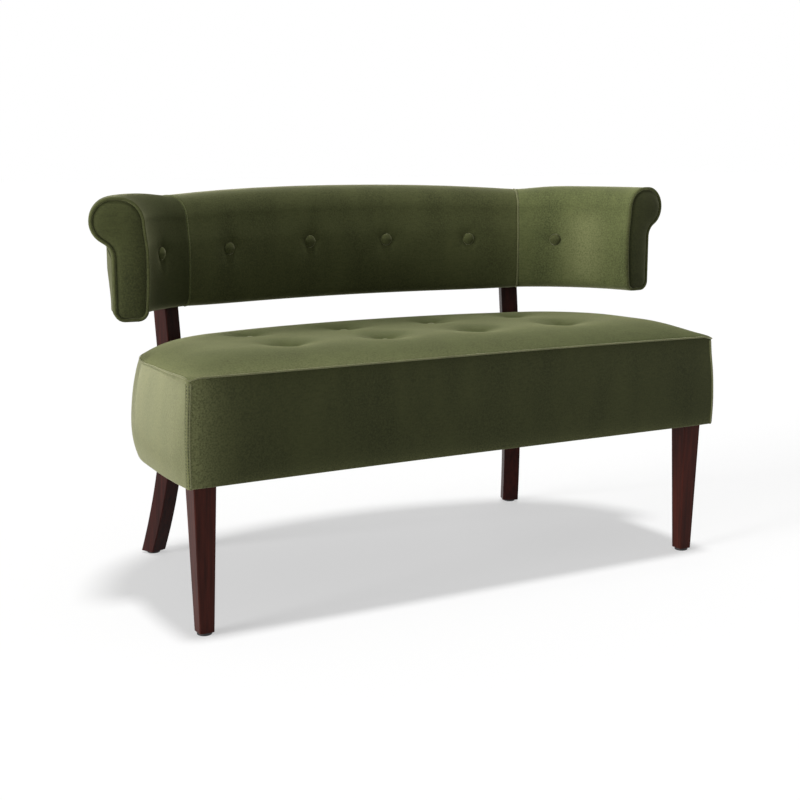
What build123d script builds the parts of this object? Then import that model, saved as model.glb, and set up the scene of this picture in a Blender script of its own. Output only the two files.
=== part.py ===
from build123d import *
import os
from math import atan, cos, degrees, radians, sin, sqrt

# Low-backed settee with rolled arms, in millimetres.
# The origin is on the floor under the middle of the settee, +X to its right seen from the front, +Y to its rear.

# Overall depth, from the seat's front to the outside of the back
overall_depth = 627.5

# Plan of the back: a wide arc in the middle and a tighter arc round each wing
back_radius = 1200.0
wing_radius = 255.5
bow_angle = 17.75
seam_angle = 23.3
wing_end_angle = 81.5

# Section of the back and wings
wing_thickness = 64.0
back_underside = 525.0
back_top = 749.0
roll_radius = 43.5
inside_top_round = 50.0
underside_round = 16.0
neck_round = 10.0
back_crown = 4.0

# Cloth, padding and the gaps between soft pieces
cloth = 1.5
outside_cloth = 3.0
soft_gap = 0.3
foam_front = 36.0
board_thickness = 4.0
arm_board_thickness = 15.0
facing_thickness = 4.0
piping_radius = 2.8
piping_inset = 1.4
piping_chamfer = 1.6
cover_tuck = 3.0

# Wooden rails of the back
back_rail_share = 0.4
wing_rail_share = 0.335
wing_rail_depth = 20.0

# Seat
seat_width = 1140.0
seat_underside = 274.0
seat_front_height = 459.0
seat_rear_height = 445.0
seat_bulge = 2.5
seat_bulge_height = 76.0
seat_seam_inset = 6.0
seat_crown = 28.0
crown_share_of_plan = 0.82
crown_steps = (0, 0.04, 0.12, 0.3, 0.6, 1)
seat_rail_thickness = 20.0
seat_rail_height = 90.0
border_padding = 7.0
dust_cover_thickness = 1.2
stretcher_thickness = 25.0
corner_block_size = 105.0
corner_block_height = 60.0
web_width = 55.0
web_thickness = 1.6
web_spacing_across = 112.0
web_spacing_along = 118.0
web_inset = 2.0

# Buttons and the tufts that they draw in
button_radius = 11.0
button_height = 6.0
button_rim = 2.0
tuft_lip = 0.5
tuft_knee_run = 0.4
tuft_knee_depth = 0.4
seat_tuft_radius = 62.0
seat_tuft_depth = 12.0
back_tuft_radius = 40.0
back_tuft_depth = 7.0
seat_face_radius = 2000.0
seat_button_spacing = 205.0
seat_button_columns = 4
seat_button_front_row = 174.0
seat_button_rear_row = 349.0
back_button_height = 638.0
back_button_angle = 9.2
back_button_columns = 4
wing_button_angle = 41.6

# Front legs
leg_top = 42.0
leg_foot = 27.5
leg_inset_side = 15.0
leg_inset_front = 18.5
leg_edge_round = 1.5
leg_room = 0.5

# Rear posts
post_size = 36.5
post_foot_size = 34.0
post_reach_at_seat = 38.0
post_foot_reach = 103.0
post_splay = 2.0
post_flat_height = 300.0
post_bend = 41.0
post_flare_bend = 22.0
post_flare_angle = 7.0
post_below_roll = 5.0
post_clearance = 1.0
post_notch = 1.2
rear_seam_past_post = 9.0
frame_past_post = 5.0

# Hardware
glide_radius = 13.5
glide_height = 5.0
glide_chamfer = 1.0
nail_radius = 1.5
nail_length = 18.0
bolt_radius = 4.0
bolt_clearance = 0.2
bolt_head_radius = 7.0
bolt_head_height = 4.5
bolt_in_post = 25.0
bolt_head_room = 1.0
bolt_past_nut = 6.0
seat_bolt_edge = 22.0
drill_past = 1.0
hanger_in_leg = 35.0
nut_radius = 7.5
nut_height = 6.5
nail_clearance = 0.1

# Places that follow from the sizes above: the back is as thick as the posts inside it need
inner_skin = cloth + soft_gap
post_front_reach = wing_thickness - inner_skin - post_notch
post_back_reach = post_front_reach + post_size
back_thickness = post_back_reach + 2 * post_clearance + outside_cloth
seat_front = -overall_depth / 2 + seat_bulge
back_centre_y = overall_depth / 2 - back_thickness - back_radius
wing_centre_x = (back_radius - wing_radius) * sin(radians(bow_angle))
wing_centre_y = back_centre_y + (back_radius - wing_radius) * cos(radians(bow_angle))
frame_front = foam_front + soft_gap
rail_front = frame_front + board_thickness
rail_inset = cloth + border_padding + 2 * soft_gap
rail_bottom = seat_underside + dust_cover_thickness
rail_top = rail_bottom + seat_rail_height
foam_bottom = rail_top + 2 * web_thickness + soft_gap
roll_centre_z = back_top - roll_radius
roll_centre_reach = back_thickness - roll_radius

# Round rear corner of the seat, placed so that its side meets the seat's width and its rear meets the post
turn = radians(seam_angle)
seat_meets_post = wing_radius + post_reach_at_seat - soft_gap - seat_bulge
meet_x = wing_centre_x + seat_meets_post * sin(turn)
meet_y = wing_centre_y + seat_meets_post * cos(turn) - seat_front
corner_radius = (seat_width / 2 - meet_x) / (1 - sin(turn))
corner_x = seat_width / 2 - corner_radius
corner_y = meet_y - corner_radius * cos(turn)
rear_radius = corner_radius + corner_x / sin(radians(bow_angle))
rear_y = corner_y - (rear_radius - corner_radius) * cos(radians(bow_angle))
seat_depth = rear_y + rear_radius
seat_tilt = atan((seat_front_height - seat_rear_height) / seat_depth)
crown_run = crown_share_of_plan * min(corner_radius, corner_y)
rear_seam_x = meet_x + rear_seam_past_post


def save(name, shape):
    export_step(shape, f"parts/{name}.step")


def save_pair(name, right):
    save(f"{name}_right", right)
    save(f"{name}_left", mirror(right, about=Plane.YZ))


def both(right):
    return [right, mirror(right, about=Plane.YZ)]


def radial_plane(x, y, angle, radius):
    """Upright plane at a radius from (x, y): its own x runs outwards, at the angle from +Y to +X, its own y is up."""
    out = Vector(sin(radians(angle)), cos(radians(angle)), 0)
    return Plane(origin=Vector(x, y, 0) + out * radius, x_dir=out, z_dir=(out.Y, -out.X, 0))


def wing_plane(angle):
    return radial_plane(wing_centre_x, wing_centre_y, angle, wing_radius)


def round_wing(section, start, end):
    """Carries a section of (reach behind the inside face, height) round the right wing."""
    axis = Axis((wing_centre_x, wing_centre_y, 0), (0, 0, 1))
    return revolve(wing_plane(end) * section, axis, end - start)


def round_back(section, end):
    """Carries a section along the middle arc and on into both wing arcs, up to the end angle."""
    plane = radial_plane(0, back_centre_y, bow_angle, back_radius)
    middle = revolve(plane * section, Axis((0, back_centre_y, 0), (0, 0, 1)), 2 * bow_angle)
    side = round_wing(section, bow_angle, end)
    return middle + side + mirror(side, about=Plane.YZ)


def area(low_x, high_x, low_y, high_y):
    middle = ((low_x + high_x) / 2, (low_y + high_y) / 2)
    return Pos(*middle) * Rectangle(high_x - low_x, high_y - low_y)


def nearest_corner(sketch, x, y):
    return sketch.vertices().sort_by_distance((x, y, 0))[0]


# Sections of the back and the wings
def inside_face_crown():
    """Thin lens that swells the inside face between its rounded bottom and its rounded top."""
    low = (0, back_underside + underside_round)
    high = (0, back_top - inside_top_round)
    middle = (-back_crown, (low[1] + high[1]) / 2)
    return make_face([ThreePointArc(low, middle, high), Line(high, low)])


def wing_section():
    """Upright pad with a roll along its top that hangs over the outside."""
    pad = area(0, wing_thickness, back_underside, roll_centre_z)
    crest = area(0, roll_centre_reach, roll_centre_z, back_top)
    roll = Pos(roll_centre_reach, roll_centre_z) * Circle(roll_radius)
    outline = pad + crest + roll
    neck_z = roll_centre_z - sqrt(roll_radius**2 - (wing_thickness - roll_centre_reach) ** 2)
    outline = fillet(nearest_corner(outline, 0, back_top), inside_top_round)
    outline = fillet(nearest_corner(outline, wing_thickness, neck_z), neck_round)
    outline = fillet(nearest_corner(outline, 0, back_underside), underside_round)
    return fillet(nearest_corner(outline, wing_thickness, back_underside), underside_round)


def back_section():
    """Same crest and roll as the wings, with a straight outside that leaves room for the posts."""
    outline = area(0, back_thickness, back_underside, roll_centre_z)
    outline += area(0, roll_centre_reach, roll_centre_z, back_top)
    outline += Pos(roll_centre_reach, roll_centre_z) * Circle(roll_radius)
    outline = fillet(nearest_corner(outline, 0, back_top), inside_top_round)
    outline = fillet(nearest_corner(outline, 0, back_underside), underside_round)
    return fillet(nearest_corner(outline, back_thickness, back_underside), underside_round)


wing_plain = wing_section()
wing_full = wing_plain + inside_face_crown()
back_full = back_section() + inside_face_crown()
reach_limit = 2 * back_thickness
neck_bottom = roll_centre_z - sqrt(
    (roll_radius + neck_round) ** 2 - (wing_thickness + neck_round - roll_centre_reach) ** 2
)
inside_turn_under = area(-back_thickness, underside_round + cloth, back_underside - back_crown, back_top)


# Tufts: each button draws the cloth into a round hollow with a soft lip
def tuft(radius, depth, face_radius):
    """Tool for one hollow, along its own z, in cloth that lies at z = 0 and bends to the face radius."""
    rim = (radius, radius**2 / (2 * face_radius) + tuft_lip)
    floor_edge = (button_radius + soft_gap, -depth)
    knee = (floor_edge[0] + tuft_knee_run * (radius - floor_edge[0]), -tuft_knee_depth * depth)
    outline = Polyline((0, -depth), floor_edge, knee, rim, (radius, depth), (0, depth), close=True)
    return revolve(Plane.XZ * make_face(outline), Axis.Z, 360)


def button():
    """Domed cloth-covered button with its flat underside at z = 0."""
    rise = button_height - button_rim
    dome_radius = (button_radius**2 + rise**2) / (2 * rise)
    dome = Pos(0, 0, button_height - dome_radius) * Sphere(dome_radius)
    return dome & extrude(Circle(button_radius), button_height)


def facing_frame(x, y, radius, angle):
    """Frame on the inside face at the angle, with its z towards the sitter."""
    out = radians(angle)
    place = (x + radius * sin(out), y + radius * cos(out), back_button_height)
    return Plane(origin=place, x_dir=(cos(out), -sin(out), 0), z_dir=(-sin(out), -cos(out), 0))


back_tuft_frames = [
    facing_frame(
        0, back_centre_y, back_radius - back_crown, (column - (back_button_columns - 1) / 2) * back_button_angle
    )
    for column in range(back_button_columns)
]
wing_tuft_frame = facing_frame(wing_centre_x, wing_centre_y, wing_radius - back_crown, wing_button_angle)


def sewn_down(body, frames, tool, sunk):
    """Cuts the hollows into a body whose face lies the given distance below the outer cloth."""
    for frame in frames:
        body -= frame * Pos(0, 0, -sunk) * tool
    return body


# Back and wing upholstery
def foam_section(section):
    padded = offset(section, -inner_skin)
    frame_room = area(foam_front, reach_limit, 0, neck_bottom)
    under_room = area(underside_round + cloth, reach_limit, 0, frame_floor)
    outside_room = area(back_thickness - outside_cloth - soft_gap, reach_limit, 0, roll_centre_z + soft_gap)
    return padded - frame_room - under_room - outside_room


def skin_over_tufts(outer, inner, frames, tool):
    """Cloth between an outer and an inner form, following the same hollows on both sides."""
    outer = sewn_down(outer, frames, tool, 0)
    inner = sewn_down(inner, frames, tool, cloth)
    return outer - inner


def back_upholstery():
    hollow = tuft(back_tuft_radius, back_tuft_depth, back_radius - back_crown)
    ends_at = roll_centre_z + soft_gap
    reaches = inside_turn_under + area(-back_thickness, reach_limit, ends_at, back_top + back_crown)
    outer = round_back(back_full & reaches, seam_angle)
    inner = round_back(offset(back_full, -cloth), seam_angle)
    save("inside_back_cover", skin_over_tufts(outer, inner, back_tuft_frames, hollow))
    foam = round_back(foam_section(back_full), seam_angle)
    save("back_foam", sewn_down(foam, back_tuft_frames, hollow, inner_skin))


def wing_upholstery():
    hollow = tuft(back_tuft_radius, back_tuft_depth, wing_radius - back_crown)
    ends_at = neck_bottom - cover_tuck
    reaches = inside_turn_under + area(-back_thickness, reach_limit, ends_at, back_top + back_crown)
    outer = round_wing(wing_full & reaches, seam_angle, wing_end_angle)
    inner = round_wing(offset(wing_full, -cloth), seam_angle, wing_end_angle)
    save_pair("inside_wing_cover", skin_over_tufts(outer, inner, [wing_tuft_frame], hollow))
    foam = behind_arm_board(round_wing(foam_section(wing_full), seam_angle, wing_end_angle))
    save_pair("wing_foam", sewn_down(foam, [wing_tuft_frame], hollow, inner_skin))


def behind_arm_board(shape):
    return split(shape, bisect_by=wing_plane(wing_end_angle).offset(-arm_board_thickness - soft_gap), keep=Keep.BOTTOM)


def outside_wing_form(depth_in):
    """Wing space below the roll: its outside runs from the arm's neck out to the full thickness at the seam."""
    low, high = radians(seam_angle), radians(wing_end_angle)
    inner = wing_radius + underside_round + cloth + soft_gap
    seam_reach = wing_radius + back_thickness - depth_in
    arm_reach = wing_radius + wing_thickness - depth_in
    seam = (sin(low), cos(low))
    arm = (sin(high), cos(high))
    middle = radians((seam_angle + wing_end_angle) / 2)

    def at(direction, reach):
        return (wing_centre_x + direction[0] * reach, wing_centre_y + direction[1] * reach)

    edges = [
        TangentArc(at(seam, seam_reach), at(arm, arm_reach), tangent=(cos(low), -sin(low))),
        Line(at(arm, arm_reach), at(arm, inner)),
        ThreePointArc(at(arm, inner), at((sin(middle), cos(middle)), inner), at(seam, inner)),
        Line(at(seam, inner), at(seam, seam_reach)),
    ]
    bottom = back_underside + depth_in
    form = extrude(Pos(0, 0, bottom) * make_face(edges), roll_centre_z - bottom)
    outside_bottom = form.edges().filter_by(GeomType.CIRCLE).group_by(Axis.Z)[0].sort_by(SortBy.LENGTH)[-1]
    return fillet(outside_bottom, underside_round - depth_in)


def below_roll_cut():
    """What the outside of a wing leaves free: the roll, and the hollow of the neck under it as one slope."""
    low = neck_bottom - cover_tuck - soft_gap
    to_roll = roll_radius / (roll_radius + neck_round)
    touch_reach = roll_centre_reach + to_roll * (wing_thickness + neck_round - roll_centre_reach) + soft_gap
    touch_z = roll_centre_z - to_roll * (roll_centre_z - neck_bottom) - soft_gap
    outline = Polyline(
        (-back_thickness, low), (wing_thickness + soft_gap, low), (touch_reach, touch_z),
        (touch_reach, roll_centre_z), (-back_thickness, roll_centre_z), close=True,
    )
    roll = Pos(roll_centre_reach, roll_centre_z) * Circle(roll_radius + soft_gap)
    return make_face(outline) + roll


def outside_covers():
    form = area(underside_round + cloth + soft_gap, back_thickness, back_underside, roll_centre_z)
    form = fillet(nearest_corner(form, back_thickness, back_underside), underside_round)
    hollow = area(0, back_thickness - outside_cloth, back_underside + outside_cloth, back_top)
    hollow_corner = (back_thickness - outside_cloth, back_underside + outside_cloth)
    hollow = fillet(nearest_corner(hollow, *hollow_corner), underside_round - outside_cloth)
    cover = round_back(form - hollow, seam_angle)
    for room in both(post_room):
        cover -= room
    save("outside_back_cover", cover)
    wing = outside_wing_form(0) - outside_wing_form(outside_cloth)
    wing -= round_wing(below_roll_cut(), seam_angle - 1, wing_end_angle + 1)
    save_pair("outside_wing_cover", wing - post_room)


# Frame of the back
back_rail_back = post_front_reach + post_notch
frame_seam = seam_angle + degrees(atan((post_size / 2 + frame_past_post) / (wing_radius + post_front_reach)))
frame_top = neck_bottom - soft_gap
frame_floor = back_underside + outside_cloth + soft_gap
back_rail_height = back_rail_share * (frame_top - frame_floor)
wing_rail_height = wing_rail_share * (frame_top - frame_floor)
post_top = neck_bottom - post_below_roll


def back_bolt_hole(height, radius, length, start):
    """Round bar along the post's own line, from a reach behind the inside face backwards."""
    line = wing_plane(seam_angle)
    start_point = line.from_local_coords((start, height, 0))
    return Plane(origin=start_point, z_dir=line.x_dir) * extrude(Circle(radius), length)


back_bolt_heights = (frame_floor + back_rail_height / 2, frame_top - back_rail_height / 2)
seat_bolt_heights = (rail_bottom + seat_bolt_edge, rail_top - seat_bolt_edge)


def back_frame():
    rails = {
        "back_bottom_rail": (frame_floor, frame_floor + back_rail_height),
        "back_top_rail": (frame_top - back_rail_height, frame_top),
    }
    for name, (low, high) in rails.items():
        rail = round_back(area(rail_front, back_rail_back, low, high), frame_seam)
        for post in both(post_solid(0)):
            rail -= post
        for height in back_bolt_heights:
            for bore in both(back_bolt_hole(height, bolt_radius + bolt_clearance, post_size, rail_front - drill_past)):
                rail -= bore
        save(name, rail)
    save("back_inner_board", back_board(area(frame_front, rail_front, frame_floor, frame_top)))
    low_rail = area(rail_front, rail_front + wing_rail_depth, frame_floor, frame_floor + wing_rail_height)
    low_corner = nearest_corner(low_rail, rail_front + wing_rail_depth, frame_floor)
    low_rail = chamfer(low_corner, underside_round - outside_cloth)
    high_rail = area(rail_front, rail_front + wing_rail_depth, frame_top - wing_rail_height, frame_top)
    save_pair("wing_bottom_rail", behind_arm_board(round_wing(low_rail, frame_seam, wing_end_angle)))
    save_pair("wing_top_rail", behind_arm_board(round_wing(high_rail, frame_seam, wing_end_angle)))
    panel = area(frame_front, rail_front, frame_floor, frame_top)
    save_pair("wing_inner_board", behind_arm_board(round_wing(panel, frame_seam, wing_end_angle)))
    heads = []
    for height in back_bolt_heights:
        head_start = frame_front + bolt_clearance
        head_height = board_thickness - 2 * bolt_clearance
        head = back_bolt_hole(height, bolt_head_radius, head_height, head_start)
        shank = back_bolt_hole(height, bolt_radius, post_front_reach - head_start + bolt_in_post, head_start)
        heads += both(shank + head)
    save("post_back_bolts", Compound(heads))


def back_board(section):
    board = round_back(section, frame_seam)
    for height in back_bolt_heights:
        bore = back_bolt_hole(height, bolt_head_radius + bolt_head_room, 2 * board_thickness, frame_front - drill_past)
        for hole in both(bore):
            board -= hole
    return board


def arm_front():
    plane = wing_plane(wing_end_angle)
    board = extrude(plane * offset(wing_plain, -outside_cloth - 2 * soft_gap), -arm_board_thickness)
    save_pair("arm_front_board", board)
    facing = offset(wing_plain, -piping_inset - piping_radius - soft_gap)
    save_pair("arm_facing", extrude(plane.offset(soft_gap) * facing, facing_thickness))
    rim = offset(wing_plain, piping_radius - piping_inset) - offset(wing_plain, -piping_radius - piping_inset)
    bead = extrude(plane.offset(soft_gap) * rim, 2 * piping_radius)
    ends = bead.faces().sort_by(Axis(plane.origin, plane.z_dir))
    save_pair("arm_piping", chamfer(ends[0].edges() + ends[-1].edges(), piping_chamfer))


# Rear posts
def post_outline(grow):
    """Side view of a post, as (reach behind the inside face of the back, height)."""
    bend_height = back_underside - post_flat_height - post_bend
    lean = atan((post_front_reach - post_reach_at_seat) / bend_height)
    flare = radians(post_flare_angle)

    def edge(reach, upper, foot):
        flat = (reach, post_flat_height)
        bent_z = post_flat_height + post_bend * (1 + cos(lean))
        bent = (reach + post_bend * sin(lean), bent_z)
        shoulder = (upper, back_underside)
        low_z = post_flat_height - post_flare_bend * (1 + cos(flare))
        low = (reach + post_flare_bend * sin(flare), low_z)
        knee = TangentArc(flat, low, tangent=(0, -1))
        return [
            Line((upper, post_top), shoulder),
            Line(shoulder, bent),
            TangentArc(flat, bent, tangent=(0, 1)),
            knee,
            TangentArc(low, (foot, 0), tangent=knee % 1),
        ]

    front = edge(post_reach_at_seat, post_front_reach, post_foot_reach)
    back = edge(post_reach_at_seat + post_size, post_back_reach, post_foot_reach + post_foot_size)
    ends = [
        Line((post_front_reach, post_top), (post_back_reach, post_top)),
        Line((post_foot_reach, 0), (post_foot_reach + post_foot_size, 0)),
    ]
    outline = make_face(front + back + ends)
    return offset(outline, grow) if grow else outline


def post_solid(grow):
    thick = post_size + 2 * grow
    line = wing_plane(seam_angle)
    stick = extrude(line * post_outline(grow), thick / 2, both=True)
    pivot = line.from_local_coords((post_reach_at_seat, post_flat_height, 0))
    stick = stick.rotate(Axis(pivot, line.x_dir), -post_splay)
    return split(stick, bisect_by=Plane.XY.offset(glide_height), keep=Keep.TOP)


def seat_bolt(height, radius, length, start):
    """Round bar square to the seat's rear at the post, from a depth inside the seat's edge outwards."""
    line = radial_plane(corner_x, corner_y + seat_front, seam_angle, corner_radius)
    start_point = line.from_local_coords((-start, height, 0))
    return Plane(origin=start_point, z_dir=line.x_dir) * extrude(Circle(radius), length)


def rear_posts():
    post = post_solid(0)
    foot = post.faces().sort_by(Axis.Z)[0].center()
    post = chamfer(post.edges().filter_by(lambda edge: edge.length > post_bend), leg_edge_round)
    post -= glide_nail(foot.X, foot.Y, nail_radius + nail_clearance)
    for height in back_bolt_heights:
        post -= back_bolt_hole(height, bolt_radius + bolt_clearance, bolt_in_post + drill_past, post_front_reach)
    for height in seat_bolt_heights:
        post -= seat_bolt(height, bolt_radius + bolt_clearance, seat_bolt_length + drill_past, rail_inner)
    save_pair("rear_post", post)
    return foot


rail_inner = rail_inset + seat_rail_thickness
seat_bolt_length = rail_inner + bolt_in_post


# Front legs and hardware
leg_x = seat_width / 2 - leg_inset_side - leg_top / 2
leg_y = seat_front + leg_inset_front + leg_top / 2


def glide_nail(x, y, radius):
    return Pos(x, y, glide_height) * extrude(Circle(radius), nail_length)


def hanger_bolt(radius):
    top = rail_bottom + corner_block_height + nut_height + bolt_past_nut
    return Pos(leg_x, leg_y, rail_bottom - hanger_in_leg) * extrude(Circle(radius), top - rail_bottom + hanger_in_leg)


def front_legs():
    height = rail_bottom - glide_height
    widening = degrees(atan((leg_top - leg_foot) / 2 / height))
    foot = Pos(leg_x, leg_y, glide_height) * Rectangle(leg_foot, leg_foot)
    leg = extrude(foot, height, taper=-widening)
    leg = chamfer(leg.edges().filter_by(lambda edge: edge.length > leg_top + leg_foot), leg_edge_round)
    leg -= hanger_bolt(bolt_radius + bolt_clearance)
    leg -= glide_nail(leg_x, leg_y, nail_radius + nail_clearance)
    save_pair("front_leg", leg)
    save("leg_hanger_bolts", Compound(both(hanger_bolt(bolt_radius))))
    nut = extrude(RegularPolygon(nut_radius, 6, rotation=30), nut_height)
    nut -= extrude(Circle(bolt_radius + bolt_clearance), nut_height)
    save("leg_nuts", Compound(both(Pos(leg_x, leg_y, rail_bottom + corner_block_height) * nut)))


def glides(rear_foot):
    disc = extrude(Circle(glide_radius), glide_height)
    disc = chamfer(disc.edges().sort_by(Axis.Z)[0], glide_chamfer)
    discs = []
    nails = []
    for x, y in ((leg_x, leg_y), (rear_foot.X, rear_foot.Y)):
        discs += both(Pos(x, y, 0) * disc)
        nails += both(glide_nail(x, y, nail_radius))
    save("glide_discs", Compound(discs))
    save("glide_nails", Compound(nails))


# Seat
def seat_outline(grow):
    """Plan of the seat with y from its front: straight front and sides, round rear corners, bowed rear."""
    half = seat_width / 2 + grow
    corner = corner_radius + grow
    bow = radians(bow_angle)
    middle = radians((90 + bow_angle) / 2)
    side_end = (half, corner_y)
    bend = (corner_x + corner * sin(middle), corner_y + corner * cos(middle))
    corner_end = (corner_x + corner * sin(bow), corner_y + corner * cos(bow))
    apex = (0, rear_y + rear_radius + grow)

    def left(point):
        return (-point[0], point[1])

    edges = [
        Line((-half, -grow), (half, -grow)),
        Line((half, -grow), side_end),
        ThreePointArc(side_end, bend, corner_end),
        ThreePointArc(corner_end, apex, left(corner_end)),
        ThreePointArc(left(corner_end), left(bend), left(side_end)),
        Line(left(side_end), (-half, -grow)),
    ]
    return make_face(edges)


def level(height):
    return Plane(origin=(0, seat_front, height))


def seam_plane(rise):
    """Plane of the seat's top seam, which falls to the rear, raised by the given height."""
    return Plane(
        origin=(0, seat_front, seat_front_height + rise), x_dir=(1, 0, 0), z_dir=(0, sin(seat_tilt), cos(seat_tilt))
    )


def crown_rise(run):
    return seat_crown * (1 - (1 - run / crown_run) ** 2)


def seat_body(sunk):
    """The upholstered seat, or the form inside it at the given depth below its surface."""
    border = [
        level(seat_underside) * seat_outline(-sunk),
        level(seat_underside + seat_bulge_height) * seat_outline(seat_bulge - sunk),
        seam_plane(-sunk) * seat_outline(-seat_seam_inset - sunk),
    ]
    crown = []
    for share in crown_steps:
        run = share * crown_run
        crown.append(seam_plane(crown_rise(run) - sunk) * seat_outline(-seat_seam_inset - run - sunk))
    return loft(border, ruled=True) + loft(crown, ruled=True)


def seat_tuft_frames():
    frames = []
    for row in (seat_button_front_row, seat_button_rear_row):
        for column in range(seat_button_columns):
            x = (column - (seat_button_columns - 1) / 2) * seat_button_spacing
            frames.append(seam_plane(seat_crown) * Pos(x, row, 0))
    return frames


def slab(grow, low, high):
    return extrude(level(low) * seat_outline(grow), high - low)


def seat_cloth():
    frames = seat_tuft_frames()
    hollow = tuft(seat_tuft_radius, seat_tuft_depth, seat_face_radius)
    cover = sewn_down(seat_body(0), frames, hollow, 0) - sewn_down(seat_body(cloth), frames, hollow, cloth)
    top_seam = seam_plane(-2 * cloth)
    save("seat_top_cover", split(cover, bisect_by=top_seam, keep=Keep.TOP))
    border = split(cover, bisect_by=top_seam, keep=Keep.BOTTOM)
    for bore in seat_bolt_bores:
        border -= bore
    front_seam = Plane.XZ.offset(-(seat_front + seat_seam_inset + 2 * cloth))
    front = split(border, bisect_by=front_seam, keep=Keep.TOP)
    rest = split(border, bisect_by=front_seam, keep=Keep.BOTTOM)
    rear_seam = Plane.YZ.offset(rear_seam_x)
    side = split(rest, bisect_by=rear_seam, keep=Keep.TOP)
    rear = split(rest, bisect_by=rear_seam, keep=Keep.BOTTOM)
    rear = split(rear, bisect_by=Plane.YZ.offset(-rear_seam_x), keep=Keep.TOP)
    save("seat_front_panel", front)
    save_pair("seat_side_panel", side)
    save("seat_rear_panel", rear)


def seat_padding():
    body = seat_body(inner_skin)
    foam = split(body, bisect_by=Plane.XY.offset(foam_bottom), keep=Keep.TOP)
    hollow = tuft(seat_tuft_radius, seat_tuft_depth, seat_face_radius)
    save("seat_foam", sewn_down(foam, seat_tuft_frames(), hollow, inner_skin))
    border = split(body, bisect_by=Plane.XY.offset(foam_bottom - soft_gap), keep=Keep.BOTTOM)
    border = split(border, bisect_by=Plane.XY.offset(rail_bottom + soft_gap), keep=Keep.TOP)
    border -= slab(-rail_inset + soft_gap, seat_underside, foam_bottom)
    for bore in seat_bolt_bores:
        border -= bore
    save("seat_border_padding", border)
    sheet = slab(-inner_skin, seat_underside, rail_bottom)
    leg_hole = leg_top + 2 * leg_room
    for hole in both(Pos(leg_x, leg_y, seat_underside) * Box(leg_hole, leg_hole, leg_hole)):
        sheet -= hole
    save("seat_dust_cover", sheet)


def seat_frame():
    ring = slab(-rail_inset, rail_bottom, rail_top) - slab(-rail_inner, rail_bottom, rail_top)
    for bore in seat_bolt_bores:
        ring -= bore
    front_inside = seat_front + rail_inner
    front_cut = Plane.XZ.offset(-front_inside)
    save("seat_front_rail", split(ring, bisect_by=front_cut, keep=Keep.TOP))
    rest = split(ring, bisect_by=front_cut, keep=Keep.BOTTOM)
    joint = meet_x - post_size
    save_pair("seat_side_rail", split(rest, bisect_by=Plane.YZ.offset(joint), keep=Keep.TOP))
    rear = split(rest, bisect_by=Plane.YZ.offset(joint), keep=Keep.BOTTOM)
    save("seat_rear_rail", split(rear, bisect_by=Plane.YZ.offset(-joint), keep=Keep.TOP))
    inside = slab(-rail_inner, rail_bottom, rail_top)
    bar = Pos(0, seat_front + seat_depth / 2, rail_bottom) * Box(
        stretcher_thickness, 2 * seat_depth, seat_rail_height, align=(Align.CENTER, Align.CENTER, Align.MIN)
    )
    save("seat_stretcher", inside & bar)
    inner_x = seat_width / 2 - rail_inner
    triangle = Polyline(
        (inner_x, front_inside), (inner_x - corner_block_size, front_inside),
        (inner_x, front_inside + corner_block_size), close=True,
    )
    block = extrude(Pos(0, 0, rail_bottom) * make_face(triangle), corner_block_height)
    save("seat_corner_blocks", Compound(both(block - hanger_bolt(bolt_radius + bolt_clearance))))


def seat_webbing():
    """Two layers of straps on top of the rails, one from front to rear and one from side to side above it."""
    middle_y = seat_front + seat_depth / 2
    lower = slab(-rail_inset - web_inset, rail_top, rail_top + web_thickness)
    upper = Pos(0, 0, web_thickness) * lower
    reach = 2 * seat_width
    layer = (Align.CENTER, Align.CENTER, Align.MIN)
    columns = int((seat_width / 2 - rail_inner) / web_spacing_along)
    straps = []
    for step in range(-columns, columns + 1):
        strap = Pos(step * web_spacing_along, middle_y, rail_top) * Box(web_width, reach, web_thickness, align=layer)
        straps.append(lower & strap)
    save("seat_webbing_front_to_rear", Compound([solid for strap in straps for solid in strap.solids()]))
    rows = int((seat_depth - 2 * rail_inner) / web_spacing_across)
    straps = []
    for step in range(rows):
        y = middle_y + (step - (rows - 1) / 2) * web_spacing_across
        strap = Pos(0, y, rail_top + web_thickness) * Box(reach, web_width, web_thickness, align=layer)
        straps.append(upper & strap)
    save("seat_webbing_side_to_side", Compound([solid for strap in straps for solid in strap.solids()]))


def buttons():
    seated = button()
    seat_buttons = [frame * Pos(0, 0, soft_gap - seat_tuft_depth) * seated for frame in seat_tuft_frames()]
    save("seat_buttons", Compound(seat_buttons))
    drop = Pos(0, 0, soft_gap - back_tuft_depth)
    on_back = [frame * drop * seated for frame in back_tuft_frames]
    save("back_buttons", Compound(on_back + both(wing_tuft_frame * drop * seated)))


def post_seat_bolts():
    bolts = []
    for height in seat_bolt_heights:
        under_head = rail_inner + bolt_clearance
        shank = seat_bolt(height, bolt_radius, seat_bolt_length, under_head)
        head = seat_bolt(height, bolt_head_radius, bolt_head_height, under_head + bolt_head_height)
        bolts += both(shank + head)
    save("post_seat_bolts", Compound(bolts))


seat_bolt_bores = []
for bolt_height in seat_bolt_heights:
    seat_bolt_bores += both(
        seat_bolt(bolt_height, bolt_radius + bolt_clearance, seat_bolt_length, rail_inner + drill_past)
    )
post_room = post_solid(post_clearance)

os.makedirs("parts", exist_ok=True)
rear_foot_centre = rear_posts()
front_legs()
glides(rear_foot_centre)
post_seat_bolts()
seat_frame()
seat_webbing()
seat_padding()
seat_cloth()
back_frame()
arm_front()
back_upholstery()
wing_upholstery()
outside_covers()
buttons()
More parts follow.
